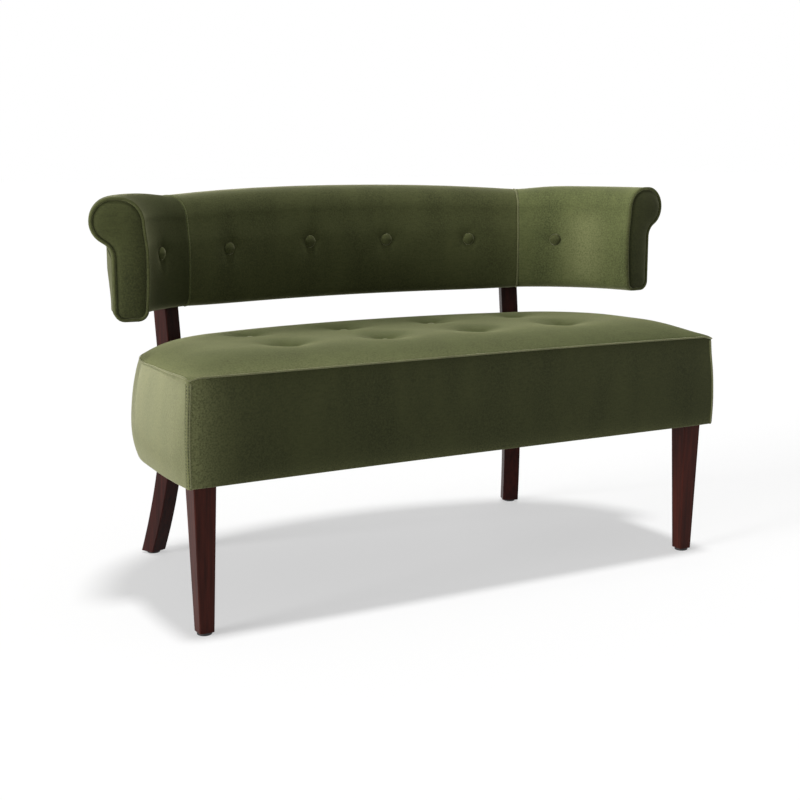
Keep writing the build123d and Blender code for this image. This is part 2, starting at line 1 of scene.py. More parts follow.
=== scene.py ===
# %% [markdown]
# # A low-backed velvet settee
# The real settee is a wooden frame with foam on it, covered in olive green cotton velvet. The wooden frame,
# the legs and the fixings are loaded as they are and only get their materials here. Everything that is
# cloth is made again as soft upholstery, because a solid cover has none of the swell, dips and seams of
# sewn cloth. Such pieces could be sculpted by hand. Here each one starts from a drawn section or plan, and
# formulas then move its points, so that every size has a name and can be changed.

# %% The frame and its bounds
from math import atan2, cos, exp, hypot, pi, radians, sin, sqrt, tan

import bmesh
import bpy
from mathutils import Matrix, Vector
from mathutils.geometry import intersect_point_line


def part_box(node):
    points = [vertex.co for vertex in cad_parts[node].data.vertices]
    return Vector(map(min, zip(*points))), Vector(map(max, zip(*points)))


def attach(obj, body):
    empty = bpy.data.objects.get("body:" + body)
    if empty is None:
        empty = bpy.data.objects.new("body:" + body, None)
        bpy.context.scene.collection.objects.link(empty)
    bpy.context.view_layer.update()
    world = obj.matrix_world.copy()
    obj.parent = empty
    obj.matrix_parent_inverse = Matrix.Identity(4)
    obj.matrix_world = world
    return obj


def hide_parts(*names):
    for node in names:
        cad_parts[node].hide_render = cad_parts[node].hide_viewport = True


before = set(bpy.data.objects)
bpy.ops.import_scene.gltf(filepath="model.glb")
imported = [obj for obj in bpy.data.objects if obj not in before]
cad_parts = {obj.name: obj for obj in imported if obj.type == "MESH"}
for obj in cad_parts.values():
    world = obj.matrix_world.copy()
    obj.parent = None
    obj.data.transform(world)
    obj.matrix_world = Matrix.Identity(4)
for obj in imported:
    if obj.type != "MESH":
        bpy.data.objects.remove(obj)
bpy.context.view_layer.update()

# %% [markdown]
# ## Sizes of the back
# Seen from above, the back of the settee is one wide arc, and each wing is a tighter arc that carries on
# from it without a kink. It could be drawn as a free curve, but two arcs can be spun exactly and give the
# length along the back in closed form. That length is used later to place seams, buttons and dips. All
# lengths are in metres.

# %% Plan and section of the back
mm = 0.001
overall_depth = 627.5 * mm
back_radius = 1200 * mm
wing_radius = 255.5 * mm
bow_angle = radians(17.75)
seam_angle = radians(23.3)
arm_angle = radians(81.5)
back_thickness = 102.5 * mm
wing_thickness = 64 * mm
back_bottom = 525 * mm
back_top = 749 * mm
roll_radius = 43.5 * mm
cover_thickness = 3 * mm

back_centre_y = overall_depth / 2 - back_thickness - back_radius
wing_centre_x = (back_radius - wing_radius) * sin(bow_angle)
wing_centre_y = back_centre_y + (back_radius - wing_radius) * cos(bow_angle)
roll_reach = back_thickness - roll_radius
roll_height = back_top - roll_radius
bow_length = back_radius * bow_angle
seam_length = bow_length + wing_radius * (seam_angle - bow_angle)
arm_length = bow_length + wing_radius * (arm_angle - bow_angle)
print("length along the back to a seam:", round(seam_length, 4), "and to an arm:", round(arm_length, 4))

# %% [markdown]
# ## Camera
# The settee is seen from its left and from a little above the back, with a fairly long lens, so that its
# edges run nearly parallel. A camera can be aimed by eye or by a constraint. Here its place and two angles
# are written out, worked out from the straight edges of the seat and the four feet.

# %% Camera
# Both angles in radians: how far it looks down, and how far it is turned to the right.
camera_place = (-1.3616, -2.46355, 0.8388)
camera_fall = 0.181
camera_turn = 0.507
camera_data = bpy.data.cameras.new("camera")
camera_data.sensor_width = 36
camera_data.lens = 62.71
camera = bpy.data.objects.new("camera", camera_data)
camera.location = camera_place
camera.rotation_euler = (pi / 2 - camera_fall, 0, -camera_turn)
bpy.context.scene.collection.objects.link(camera)
bpy.context.scene.camera = camera
bpy.context.scene.view_settings.view_transform = "Standard"
print("camera at", tuple(camera.location))

# %% [markdown]
# ## Making materials
# A material is a small graph of nodes. It could be clicked together by hand, but in a script one function
# that adds a node, sets its options and links its inputs keeps each material down to a few lines. All
# patterns are noises in the object's own space, so they need no unwrapping and keep their size from piece
# to piece.

# %% Colours and nodes


def colour(hex_code):
    """Turns an sRGB hex code into the linear colour that a shader takes."""
    parts = [int(hex_code[i:i + 2], 16) / 255 for i in (1, 3, 5)]
    linear = [p / 12.92 if p <= 0.04045 else ((p + 0.055) / 1.055) ** 2.4 for p in parts]
    return (*linear, 1.0)


def add_node(tree, kind, inputs=None, **settings):
    """Adds a shader node, sets its options and fills its inputs with values or with other sockets."""
    node = tree.nodes.new(kind)
    for name, value in settings.items():
        setattr(node, name, value)
    for name, value in (inputs or {}).items():
        if isinstance(value, bpy.types.NodeSocket):
            tree.links.new(value, node.inputs[name])
        else:
            node.inputs[name].default_value = value
    return node


def new_material(name):
    """Makes an empty material and gives back its node tree."""
    material = bpy.data.materials.new(name)
    material.use_nodes = True
    material.node_tree.nodes.clear()
    return material, material.node_tree


print("white in linear light:", colour("#ffffff"))

# %% Patterns and colours laid over one another


def blotches(tree, sizes, detail):
    """A noise in the object's own space, with blotches of the given sizes along X, Y and Z."""
    place = add_node(tree, "ShaderNodeTexCoord").outputs["Object"]
    per_metre = [1 / size for size in sizes]
    scaled = add_node(tree, "ShaderNodeMapping", {"Vector": place, "Scale": per_metre})
    noise = add_node(tree, "ShaderNodeTexNoise",
                     {"Vector": scaled.outputs["Vector"], "Scale": 1.0, "Detail": detail})
    return noise.outputs["Fac"]


def lay_over(tree, under, over, pattern, low, high):
    """Lays one colour over another: none of it where the pattern is low, all of it where it is high."""
    share = add_node(tree, "ShaderNodeMapRange", {"Value": pattern, "From Min": low, "From Max": high})
    # Inputs 6 and 7 and output 2 are the colour sockets of the mix node.
    mix = add_node(tree, "ShaderNodeMix", {0: share.outputs["Result"], 6: under, 7: over}, data_type="RGBA")
    return mix.outputs[2]


print("blotches of 20 mm are drawn at", round(1 / (20 * mm)), "per metre")

# %% [markdown]
# ## Velvet
# The cover is cotton velvet: a woven cloth with a dense upright pile, cut short. It is dark where the eye
# looks into the pile and pale where it looks along it, and it has a sheen at grazing angles. Real hairs would
# be far too many. So one recipe is used, with a sheen from the shader, and lighter or darker copies of it
# are given to the panels. These copies are painted light and shade: paler on panels where the light falls,
# and darker on panels in shade.

# %% The velvet recipe
# A hand leaves patches of about this size in the pile: real size.
brushed_patch = (71.43 * mm, 71.43 * mm, 200 * mm)
# Rows of weave are about 0.6 mm apart; drawn five times as coarse, so that they show.
weave_row = (14.286 * mm, 14.286 * mm, 2.941 * mm)
# Tufts of pile are about 0.5 mm apart; drawn six times as coarse, so that they show.
pile_tuft = (3.03 * mm, 3.03 * mm, 3.03 * mm)
pile_relief = 0.8 * mm
# The pale tone of the painted sheen.
painted_sheen_tone = "#7d8058"
pale_sheen = "#c9c8a6"
dull_sheen = "#b9b98f"


def make_velvet(name, dark, light, sheen_tint, sheen):
    """Cut pile with brushed patches, faint rows and a speckle; paler where a painted sheen is marked on the
    vertices.
    """
    material, tree = new_material(name)
    tufts = blotches(tree, pile_tuft, 3.0)
    pile = lay_over(tree, colour(dark), colour(light), blotches(tree, brushed_patch, 3.0), 0.25, 0.75)
    woven = lay_over(tree, pile, colour(dark), blotches(tree, weave_row, 2.0), 0.25, 1.1)
    speckled = lay_over(tree, woven, colour(light), tufts, 0.35, 0.85)
    # Painted sheen: a paler tone over the speckle, laid on where the vertices are marked.
    painted_sheen_colour = lay_over(tree, speckled, colour(painted_sheen_tone), tufts, 0.1, 0.6)
    painted_sheen = add_node(tree, "ShaderNodeAttribute", attribute_name="painted_sheen").outputs["Fac"]
    with_painted_sheen = lay_over(tree, speckled, painted_sheen_colour, painted_sheen, 0.0, 1.0)
    bump = add_node(tree, "ShaderNodeBump", {"Height": tufts, "Strength": 0.35, "Distance": pile_relief})
    shader = add_node(tree, "ShaderNodeBsdfPrincipled",
                      {"Base Color": with_painted_sheen, "Normal": bump.outputs["Normal"], "Roughness": 0.95,
                       "Specular IOR Level": 0.12, "Sheen Weight": sheen, "Sheen Roughness": 0.4,
                       "Sheen Tint": colour(sheen_tint)})
    add_node(tree, "ShaderNodeOutputMaterial", {"Surface": shader.outputs["BSDF"]})
    return material


print("velvet patches of", round(brushed_patch[0] / mm), "by", round(brushed_patch[2] / mm), "mm")

# %% One velvet for each lit or shaded panel
# Painted light and shade: darkest for the seat front and the right arm's front, palest for the lit seat
# sides.
painted_velvet = "olive cotton velvet with the pile "
velvet = make_velvet("olive green cotton velvet", "#2c2f1b", "#494d2d", pale_sheen, 0.55)
velvet_back_painted_light = make_velvet(painted_velvet + "up", "#33361f", "#535735", pale_sheen, 0.55)
velvet_front_painted_shade = make_velvet(painted_velvet + "down", "#242715", "#393c22", pale_sheen, 0.45)
velvet_top_painted_light = make_velvet(painted_velvet + "to the front", "#363b22", "#505634", dull_sheen, 0.4)
velvet_side_painted_light = make_velvet(painted_velvet + "to the rear", "#4d4f37", "#6f714f", "#d2d0b0", 1.0)
velvet_wing_painted_shade = make_velvet(painted_velvet + "to the middle", "#2a2d18", "#3f4327", dull_sheen, 0.35)
velvet_wing_painted_light = make_velvet(painted_velvet + "to the arm", "#3c4127", "#646a42", pale_sheen, 0.55)
print("velvets:", len(bpy.data.materials))

# %% [markdown]
# ## Wood, metal and the cloths that don't show
# The legs and posts are hardwood, stained almost black-red and sealed with a thin satin finish, so the
# grain only just shows and a soft reflection runs down each face. Inside there is pale beech, zinc plated
# steel and jute. A picture of wood could be mapped on, but a noise stretched along the stick gives a
# straight grain on every face. The hidden parts get one plain recipe, as they are seen only when the settee
# is taken apart.

# %% Wood
# Grain lines stand 2 to 5 mm apart and pores are 0.2 mm wide; both are drawn coarser, so that they show.
grain_line = (6.667 * mm, 6.667 * mm, 142.86 * mm)
wood_pore = (1.111 * mm, 1.111 * mm, 33.33 * mm)
pore_relief = 0.4 * mm


def make_wood(name, dark, light, roughness, coat):
    """Straight grain along Z, drawn as long narrow blotches, under a thin finish."""
    material, tree = new_material(name)
    grain = blotches(tree, grain_line, 5.0)
    pores = blotches(tree, wood_pore, 2.0)
    tone = lay_over(tree, colour(dark), colour(light), grain, 0.3, 0.7)
    toned = lay_over(tree, tone, colour(dark), pores, 0.6, 0.75)
    bump = add_node(tree, "ShaderNodeBump", {"Height": pores, "Strength": 0.08, "Distance": pore_relief})
    shader = add_node(tree, "ShaderNodeBsdfPrincipled",
                      {"Base Color": toned, "Normal": bump.outputs["Normal"], "Roughness": roughness,
                       "Specular IOR Level": 0.08, "Coat Weight": coat, "Coat Roughness": 0.3})
    add_node(tree, "ShaderNodeOutputMaterial", {"Surface": shader.outputs["BSDF"]})
    return material


# Legs almost black-red with a dull shine, posts a little darker as painted shade, and pale hidden beech
# without a finish.
dark_wood = make_wood("dark stained hardwood", "#2a100a", "#431b13", 0.42, 0.02)
post_wood_painted_shade = make_wood("dark stained bent hardwood, darker as painted shade", "#200b08", "#371510", 0.42, 0.02)
frame_wood = make_wood("beech", "#a8814f", "#c9a271", 0.6, 0.0)
print("woods:", dark_wood.name, post_wood_painted_shade.name, frame_wood.name)

# %% Metal, plastic, jute, lining and thread
cloud_relief = 0.3 * mm
cloud_shade = 0.65


def make_plain(name, tone, roughness, metallic, cloud_size):
    """One tone with a fine cloudy variation, drawn coarser than the real grain so that it shows."""
    material, tree = new_material(name)
    cloud = blotches(tree, (cloud_size, cloud_size, cloud_size), 3.0)
    darker = (*[cloud_shade * part for part in colour(tone)[:3]], 1.0)
    toned = lay_over(tree, darker, colour(tone), cloud, 0.35, 0.65)
    bump = add_node(tree, "ShaderNodeBump", {"Height": cloud, "Strength": 0.1, "Distance": cloud_relief})
    shader = add_node(tree, "ShaderNodeBsdfPrincipled",
                      {"Base Color": toned, "Normal": bump.outputs["Normal"], "Roughness": roughness,
                       "Metallic": metallic})
    add_node(tree, "ShaderNodeOutputMaterial", {"Surface": shader.outputs["BSDF"]})
    return material


# Dull bright plating, black moulded feet, coarse tan yarn, matt black lining and dark matt thread.
steel = make_plain("zinc plated steel", "#b9bcc0", 0.35, 1.0, 2.5 * mm)
glide_plastic = make_plain("moulded nylon", "#1c1c1d", 0.5, 0.0, 1.667 * mm)
jute = make_plain("jute webbing", "#9a7f55", 0.9, 0.0, 3.333 * mm)
lining = make_plain("black lining cloth", "#1d1d1f", 0.95, 0.0, 1.111 * mm)
thread = make_plain("olive sewing thread", "#26290f", 0.7, 0.0, 1.111 * mm)
print("materials:", len(bpy.data.materials))

# %% Materials on the parts of the frame that stay
kept_materials = {"front_leg": dark_wood, "rear_post": post_wood_painted_shade, "glide_disc": glide_plastic,
                  "glide_nail": steel, "bolt": steel, "nuts": steel, "webbing": jute}
for name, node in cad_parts.items():
    found = [material for part, material in kept_materials.items() if part in name]
    node.data.materials.clear()
    node.data.materials.append(found[0] if found else frame_wood)
print("frame nodes given a material:", len(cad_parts))

# %% [markdown]
# ## Floor and light
# The settee stands in a white studio with its light from straight above and from the left, so that the
# seat's top and left side are bright while its front and the middle of the back stay dark. The floor could
# be made white with more light, but that would bleach the velvet. Instead, rays that come straight from the
# camera, or off a shiny surface, see the floor half as plain white, which keeps the shadow, and the world
# as white.

# %% Floor
floor_half = 30
floor_whiteness = 0.5


def seen_directly(tree):
    """One where a ray comes from the camera, from a glossy surface or through glass, and nought elsewhere."""
    path = add_node(tree, "ShaderNodeLightPath").outputs
    open_view = add_node(tree, "ShaderNodeMath", {0: path["Is Camera Ray"], 1: path["Is Glossy Ray"]},
                         operation="MAXIMUM")
    seen = add_node(tree, "ShaderNodeMath", {0: open_view.outputs["Value"], 1: path["Is Transmission Ray"]},
                    operation="MAXIMUM")
    return seen.outputs["Value"]


floor_mesh = bpy.data.meshes.new("floor")
bm = bmesh.new()
bmesh.ops.create_grid(bm, x_segments=1, y_segments=1, size=floor_half)
bm.to_mesh(floor_mesh)
bm.free()
floor = bpy.data.objects.new("floor", floor_mesh)
bpy.context.scene.collection.objects.link(floor)
# Matt paint, half of it plain white to the camera, so that only the shadow shows.
floor_paint, tree = new_material("white studio floor")
shader = add_node(tree, "ShaderNodeBsdfPrincipled",
                  {"Base Color": colour("#f7f7f7"), "Roughness": 0.9, "Specular IOR Level": 0.1})
plain_white = add_node(tree, "ShaderNodeEmission", {"Color": colour("#ffffff"), "Strength": 1.0})
paled = add_node(tree, "ShaderNodeMath", {0: seen_directly(tree), 1: floor_whiteness}, operation="MULTIPLY")
mixed = add_node(tree, "ShaderNodeMixShader",
                 {0: paled.outputs["Value"], 1: shader.outputs["BSDF"], 2: plain_white.outputs["Emission"]})
add_node(tree, "ShaderNodeOutputMaterial", {"Surface": mixed.outputs["Shader"]})
floor_mesh.materials.append(floor_paint)
print("floor made:", 2 * floor_half, "m wide")

# %% Lights and the white studio round them
world_strength = 0.22


def add_sun(name, strength, spread, azimuth, elevation):
    """Even light from one side of the studio; the spread makes its shadow soft."""
    data = bpy.data.lights.new(name, "SUN")
    data.energy = strength
    data.angle = spread
    light = bpy.data.objects.new(name, data)
    light.rotation_euler = (pi / 2 - elevation, 0, azimuth)
    bpy.context.scene.collection.objects.link(light)


add_sun("light overhead", 2.2, radians(9), 0, radians(88))
add_sun("light from the left", 3.6, radians(24), radians(-86), radians(9))

world = bpy.data.worlds.new("white studio")
bpy.context.scene.world = world
world.use_nodes = True
tree = world.node_tree
tree.nodes.clear()
sky = add_node(tree, "ShaderNodeBackground", {"Color": colour("#ffffff"), "Strength": world_strength})
white = add_node(tree, "ShaderNodeBackground", {"Color": colour("#ffffff"), "Strength": 1.0})
both = add_node(tree, "ShaderNodeMixShader",
                {0: seen_directly(tree), 1: sky.outputs["Background"], 2: white.outputs["Background"]})
add_node(tree, "ShaderNodeOutputWorld", {"Surface": both.outputs["Shader"]})
print("two lights and a white studio made")

# %% [markdown]
# ## Drawing, sweeping and finishing
# Upholstery is cut from patterns, and the sections and plans here are drawn in the same way, with a pen:
# one vertex is drawn out along straight lines and spun round arcs. Lists of points would do as well, but
# the pen keeps to the radii that a maker would measure. Every finished piece becomes an object at the
# origin, with its place in its mesh.

# %% The pen
spacing = 5 * mm
pen_gap = 0.05 * mm


def at(reach, height):
    """A point of a section, before it is set behind the inside face."""
    return Vector((0, reach, height))


def pen_line(bm, vert, end, step=spacing):
    """Draws a straight line of short edges from a vertex and gives back its last vertex."""
    start = vert.co.copy()
    count = max(1, round((end - start).length / step))
    for number in range(1, count + 1):
        vert = bmesh.ops.extrude_vert_indiv(bm, verts=[vert])["verts"][0]
        vert.co = start.lerp(end, number / count)
    return vert


def pen_arc(bm, vert, centre, angle, axis=(1, 0, 0), step=spacing):
    """Spins a vertex round a centre and gives back the last vertex of the arc."""
    radius = (vert.co - centre).length
    count = max(3, round(radius * abs(angle) / step))
    made = bmesh.ops.spin(bm, geom=[vert], cent=centre, axis=axis, angle=angle, steps=count)
    return [part for part in made["geom_last"] if isinstance(part, bmesh.types.BMVert)][0]


def close_outline(bm):
    """Joins the pen's last vertex to its first."""
    bmesh.ops.remove_doubles(bm, verts=bm.verts, dist=pen_gap)


print("pen step:", spacing / mm, "mm")

# %% Spinning, setting in and cutting
cut_gap = 0.02 * mm


def spin_on(bm, edges, centre_x, centre_y, angle, count):
    """Spins edges round an upright axis and gives back the edges at the far end."""
    corners = list({vert for edge in edges for vert in edge.verts})
    made = bmesh.ops.spin(bm, geom=corners + edges, cent=(centre_x, centre_y, 0), axis=(0, 0, 1),
                          angle=angle, steps=count)
    return [part for part in made["geom_last"] if isinstance(part, bmesh.types.BMEdge)]


def set_in(bm, face, distance):
    """Draws a face in from its edge and gives back the rim of faces that this leaves."""
    rim = bmesh.ops.inset_region(bm, faces=[face], thickness=distance, use_even_offset=True,
                                 use_boundary=True)
    return rim["faces"]


def cut_across(bm, place, normal):
    """Cuts every face that a plane crosses."""
    bmesh.ops.bisect_plane(bm, geom=bm.verts[:] + bm.edges[:] + bm.faces[:], dist=cut_gap, plane_co=place,
                           plane_no=normal)


def close_ends(bm):
    """Fills every open loop and turns all faces outward."""
    open_edges = [edge for edge in bm.edges if edge.is_boundary]
    bmesh.ops.holes_fill(bm, edges=open_edges, sides=0)
    bmesh.ops.recalc_face_normals(bm, faces=bm.faces)


def turn_outward(bm, middle):
    """Turns the faces of an open sheet so that they look away from a point behind it."""
    bmesh.ops.recalc_face_normals(bm, faces=bm.faces)
    if sum(face.normal.dot(face.calc_center_median() - middle) * face.calc_area() for face in bm.faces) < 0:
        bmesh.ops.reverse_faces(bm, faces=bm.faces)


print("cuts keep", cut_gap / mm, "mm clear of a vertex")

# %% Sewn cords
weld_gap = 0.001 * mm


def cord_along(path, radius, closed):
    """Sweeps a round cord along a path of points and gives back its bmesh."""
    curve = bpy.data.curves.new("cord path", "CURVE")
    curve.dimensions = "3D"
    curve.bevel_depth = radius
    curve.bevel_resolution = 3
    curve.use_fill_caps = True
    spline = curve.splines.new("POLY")
    spline.points.add(len(path) - 1)
    spline.use_cyclic_u = closed
    for point, co in zip(spline.points, path):
        point.co = (*co, 1)
    guide = bpy.data.objects.new("cord path", curve)
    bm = bmesh.new()
    bm.from_mesh(guide.to_mesh())
    guide.to_mesh_clear()
    bpy.data.objects.remove(guide)
    bpy.data.curves.remove(curve)
    bmesh.ops.remove_doubles(bm, verts=bm.verts, dist=weld_gap)
    bmesh.ops.recalc_face_normals(bm, faces=bm.faces)
    return bm


print("points of a cord closer than", weld_gap / mm, "mm become one")

# %% Finished pieces


def finish_piece(bm, name, material, subdivisions=0):
    """Turns a bmesh into a smooth object that belongs to the settee."""
    mesh = bpy.data.meshes.new(name)
    bm.to_mesh(mesh)
    bm.free()
    mesh.materials.append(material)
    mesh.shade_smooth()
    piece = bpy.data.objects.new(name, mesh)
    bpy.context.scene.collection.objects.link(piece)
    if subdivisions:
        smooth = piece.modifiers.new("smooth", "SUBSURF")
        smooth.levels = subdivisions
        smooth.render_levels = subdivisions
    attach(piece, "root")
    print(name, "faces:", len(mesh.polygons))
    return piece


# %% [markdown]
# ## Places along the back
# A seamstress would measure along the back with a tape: so far from the middle, so deep behind the inside
# face, so high above the floor. Two functions turn a point into these measures and back. Moving cloth in
# these measures instead of in X and Y lets one set of rules shape the middle and both wings, right round
# the bend.

# %% From a point to the tape and back


def along_back(co):
    """The length along the inside face from the middle, and the reach behind that face."""
    side = 1 if co.x >= 0 else -1
    angle = atan2(abs(co.x), co.y - back_centre_y)
    if angle <= bow_angle:
        return side * back_radius * angle, hypot(co.x, co.y - back_centre_y) - back_radius
    out_x, out_y = abs(co.x) - wing_centre_x, co.y - wing_centre_y
    turned = atan2(out_x, out_y) - bow_angle
    return side * (bow_length + wing_radius * turned), hypot(out_x, out_y) - wing_radius


def back_place(length, reach, height):
    """The point at a length along the back, a reach behind its inside face and a height."""
    side = 1 if length >= 0 else -1
    run = abs(length)
    if run <= bow_length:
        angle = run / back_radius
        radius = back_radius + reach
        return Vector((side * radius * sin(angle), back_centre_y + radius * cos(angle), height))
    angle = bow_angle + (run - bow_length) / wing_radius
    radius = wing_radius + reach
    return Vector((side * (wing_centre_x + radius * sin(angle)), wing_centre_y + radius * cos(angle), height))


print("a seam stands at", back_place(seam_length, 0, back_bottom))

# %% [markdown]
# ## Sections of the back and wings
# Cut through, the back shows a face that swells a little, a round top, a crest and a roll that curls over
# to the outside. The wings are thinner and have a neck under the roll. A box with bevels can't give that
# curl, so the section is drawn with the pen. Behind and below, it is tucked in by the thickness of the
# outside cover, which is made later as a skin of its own.

# %% The inside face
inside_top_round = 50 * mm
bottom_round = 16 * mm
inside_swell = 4 * mm
inside_low = back_bottom + bottom_round
inside_high = back_top - inside_top_round
# Between these two heights the face leans back a little.
lean_low = 654 * mm
lean_high = 742 * mm
lean_depth = 1.8 * mm


def draw_inside(bm, bottom):
    """The inside face with its swell, the round top and the crest, up to the top of the roll."""
    low = back_bottom + bottom
    half = (inside_high - low) / 2
    swell_radius = (half ** 2 + inside_swell ** 2) / (2 * inside_swell)
    swell_angle = 2 * atan2(half, swell_radius - inside_swell)
    vert = bm.verts.new(at(0, low))
    vert = pen_arc(bm, vert, at(swell_radius - inside_swell, low + half), -swell_angle)
    vert = pen_arc(bm, vert, at(inside_top_round, inside_high), -pi / 2)
    for drawn in bm.verts:
        share = min(max((drawn.co.z - lean_low) / (lean_high - lean_low), 0), 1)
        drawn.co.y += lean_depth * sin(pi * share)
    return pen_line(bm, vert, at(roll_reach, back_top))


print("inside face from", round(inside_low, 4), "to", round(inside_high, 4))

# %% Whole sections
neck_round = 30 * mm
wing_bottom_round = 20 * mm
neck_reach = wing_thickness + neck_round
neck_fall = sqrt((roll_radius + neck_round) ** 2 - (neck_reach - roll_reach) ** 2)
neck_height = roll_height - neck_fall
neck_turn = atan2(neck_fall, neck_reach - roll_reach)
# In radians, past the quarter turn from the crest to the side.
roll_past_side = 0.2
tuck = cover_thickness + 1 * mm
tuck_slope = 2 * mm


def draw_tucked(bm, vert, thickness, bottom):
    """From the roll down and under, set in by the cover's thickness, to the start of the inside face."""
    rear = thickness - tuck
    vert = pen_line(bm, vert, at(rear, vert.co.z - tuck))
    vert = pen_line(bm, vert, at(rear, back_bottom + bottom))
    vert = pen_arc(bm, vert, at(thickness - bottom, back_bottom + bottom), -pi / 2)
    vert = pen_line(bm, vert, at(bottom + tuck_slope, back_bottom + tuck))
    vert = pen_line(bm, vert, at(bottom, back_bottom))
    pen_arc(bm, vert, at(bottom, back_bottom + bottom), -pi / 2)
    close_outline(bm)


def draw_back_section(bm):
    """The section of the middle, with the roll turned a little past its side."""
    vert = draw_inside(bm, bottom_round)
    vert = pen_arc(bm, vert, at(roll_reach, roll_height), -pi / 2 - roll_past_side)
    draw_tucked(bm, vert, back_thickness, bottom_round)


def draw_wing_roll(bm):
    """The wing's inside face, roll and neck, down to the straight outside."""
    vert = draw_inside(bm, wing_bottom_round)
    vert = pen_arc(bm, vert, at(roll_reach, roll_height), -pi / 2 - neck_turn)
    return pen_arc(bm, vert, at(neck_reach, neck_height), neck_turn, step=spacing / 2)


print("neck of the wings at", round(neck_height, 4))

# %% [markdown]
# ## How the cloth of the back lies
# On the real back the crest is highest in the middle and dips at the two seams, the seams pull the cloth
# in, the bottom edge hangs a little, and each button sits in a small hollow with short pleats. A cloth
# simulation finds such shapes by itself, but seldom the ones that a particular settee has. So they are
# written here as moves of each vertex, measured along the back, and a subdivision surface smooths the
# result.

# %% Crest, sag and seams
crest_middle = 5 * mm
crest_seam = -8 * mm
crest_arm = -1 * mm
crest_foot = 640 * mm
crest_curve = 2.2
crest_dip_run = 50 * mm
sag_middle = 5.5 * mm
sag_wing = 2 * mm
sag_top = 575 * mm
sag_curve = 6


def crest_height(run):
    """How far the crest stands above or below its mean height at a length along the back."""
    if run < seam_length:
        return crest_middle + (crest_seam - crest_middle) * (run / seam_length) ** crest_curve
    return crest_arm + (crest_seam - crest_arm) * exp(-((run - seam_length) / crest_dip_run) ** 2)


def bottom_sag(run, height):
    """How far the bottom edge hangs at a length along the back: most in the middle, nothing at the arms."""
    low = min(max((sag_top - height) / (sag_top - back_bottom), 0), 1)
    if run < seam_length:
        return low * (sag_middle + (sag_wing - sag_middle) * (run / seam_length) ** sag_curve)
    return low * sag_wing * max((arm_length - run) / (arm_length - seam_length), 0)


print("crest from", crest_height(0), "in the middle to", round(crest_height(seam_length), 4), "at a seam")

# %% How the buttons of the back draw it in
# The buttons are sewn on by hand, so their places differ by a few millimetres.
back_buttons = [(place * mm, height * mm) for place, height in (
    (-482, 634), (-293, 633), (-95, 639), (88, 637), (282, 634), (480, 631))]
hollow_depth = 3.4 * mm
hollow_reach = 27 * mm
bed_depth = 2.6 * mm
bed_reach = 17 * mm
back_pleats = 5
back_pleat_turn = 0.7
back_pleat_share = 0.22
back_pleat_reach = 34 * mm


def pull_in(distance, angle):
    """How far a button draws the cloth in at a distance from it; small pleats run out from it."""
    wave = sin(back_pleats * angle + back_pleat_turn) * exp(-(distance / back_pleat_reach) ** 2)
    hollow = hollow_depth * exp(-(distance / hollow_reach) ** 2)
    return (1 + back_pleat_share * wave) * hollow + bed_depth * exp(-(distance / bed_reach) ** 4)


print("buttons of the back:", len(back_buttons), "hollow:", (hollow_depth + bed_depth) / mm, "mm")

# %% All moves of the back together
button_limit = 90 * mm
seam_depth = 1.2 * mm
seam_width = 3 * mm
core_reach = 36 * mm
core_low = 570 * mm
core_high = 700 * mm
arm_slim = 4 * mm
arm_slim_run = 50 * mm


def shape_back(bm):
    """Moves every vertex of a piece of the back to where the cloth lies."""
    for vert in bm.verts:
        length, reach = along_back(vert.co)
        height = vert.co.z
        rise = min(max((height - crest_foot) / (back_top - crest_foot), 0), 1)
        height += crest_height(abs(length)) * rise * rise * (3 - 2 * rise) - bottom_sag(abs(length), height)
        draw = seam_depth * exp(-((abs(length) - seam_length) / seam_width) ** 2)
        inward = at(core_reach, min(max(height, core_low), core_high)) - at(reach, height)
        if inward.length > draw:
            inward = inward.normalized() * draw
        reach += inward.y
        height += inward.z
        if reach > core_reach:
            behind = (arm_length - abs(length)) / arm_slim_run
            slim = arm_slim * (reach - core_reach) / (back_thickness - core_reach)
            reach -= slim * behind * exp(1 - behind)
        else:
            for button_length, button_height in back_buttons:
                across, up = length - button_length, height - button_height
                distance = hypot(across, up)
                if distance < button_limit:
                    reach += pull_in(distance, atan2(up, across))
        vert.co = back_place(length, reach, height)


print("the seams draw the cloth in by", seam_depth / mm, "mm")

# %% [markdown]
# ## The middle of the back
# The middle is one long pad of foam under velvet, from seam to seam. It could be bent from a straight block
# with a curve modifier, which squeezes the inside of the bend. Spinning the section round the true centres
# keeps it exact: a short piece of the wing's arc, the wide arc, and a short piece of the other wing's arc.

# %% Middle of the back
fine_steps = 12


def stand_at_seam(bm):
    """Sets a drawn section upright at the right seam, square to the back."""
    bmesh.ops.translate(bm, verts=bm.verts, vec=(wing_centre_x, wing_centre_y + wing_radius, 0))
    bmesh.ops.rotate(bm, verts=bm.verts, cent=(wing_centre_x, wing_centre_y, 0),
                     matrix=Matrix.Rotation(-seam_angle, 3, "Z"))


def spin_middle(bm):
    """Carries a drawn section round the whole middle, from the right seam to the left one."""
    stand_at_seam(bm)
    short_turn = seam_angle - bow_angle
    ends = spin_on(bm, bm.edges[:], wing_centre_x, wing_centre_y, short_turn, fine_steps)
    ends = spin_on(bm, ends, 0, back_centre_y, 2 * bow_angle, round(2 * bow_length / spacing))
    spin_on(bm, ends, -wing_centre_x, wing_centre_y, short_turn, fine_steps)
    close_ends(bm)


bm = bmesh.new()
draw_back_section(bm)
spin_middle(bm)
shape_back(bm)
inside_back = finish_piece(bm, "inside_back", velvet_back_painted_light, 1)
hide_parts("inside_back_cover", "back_foam")

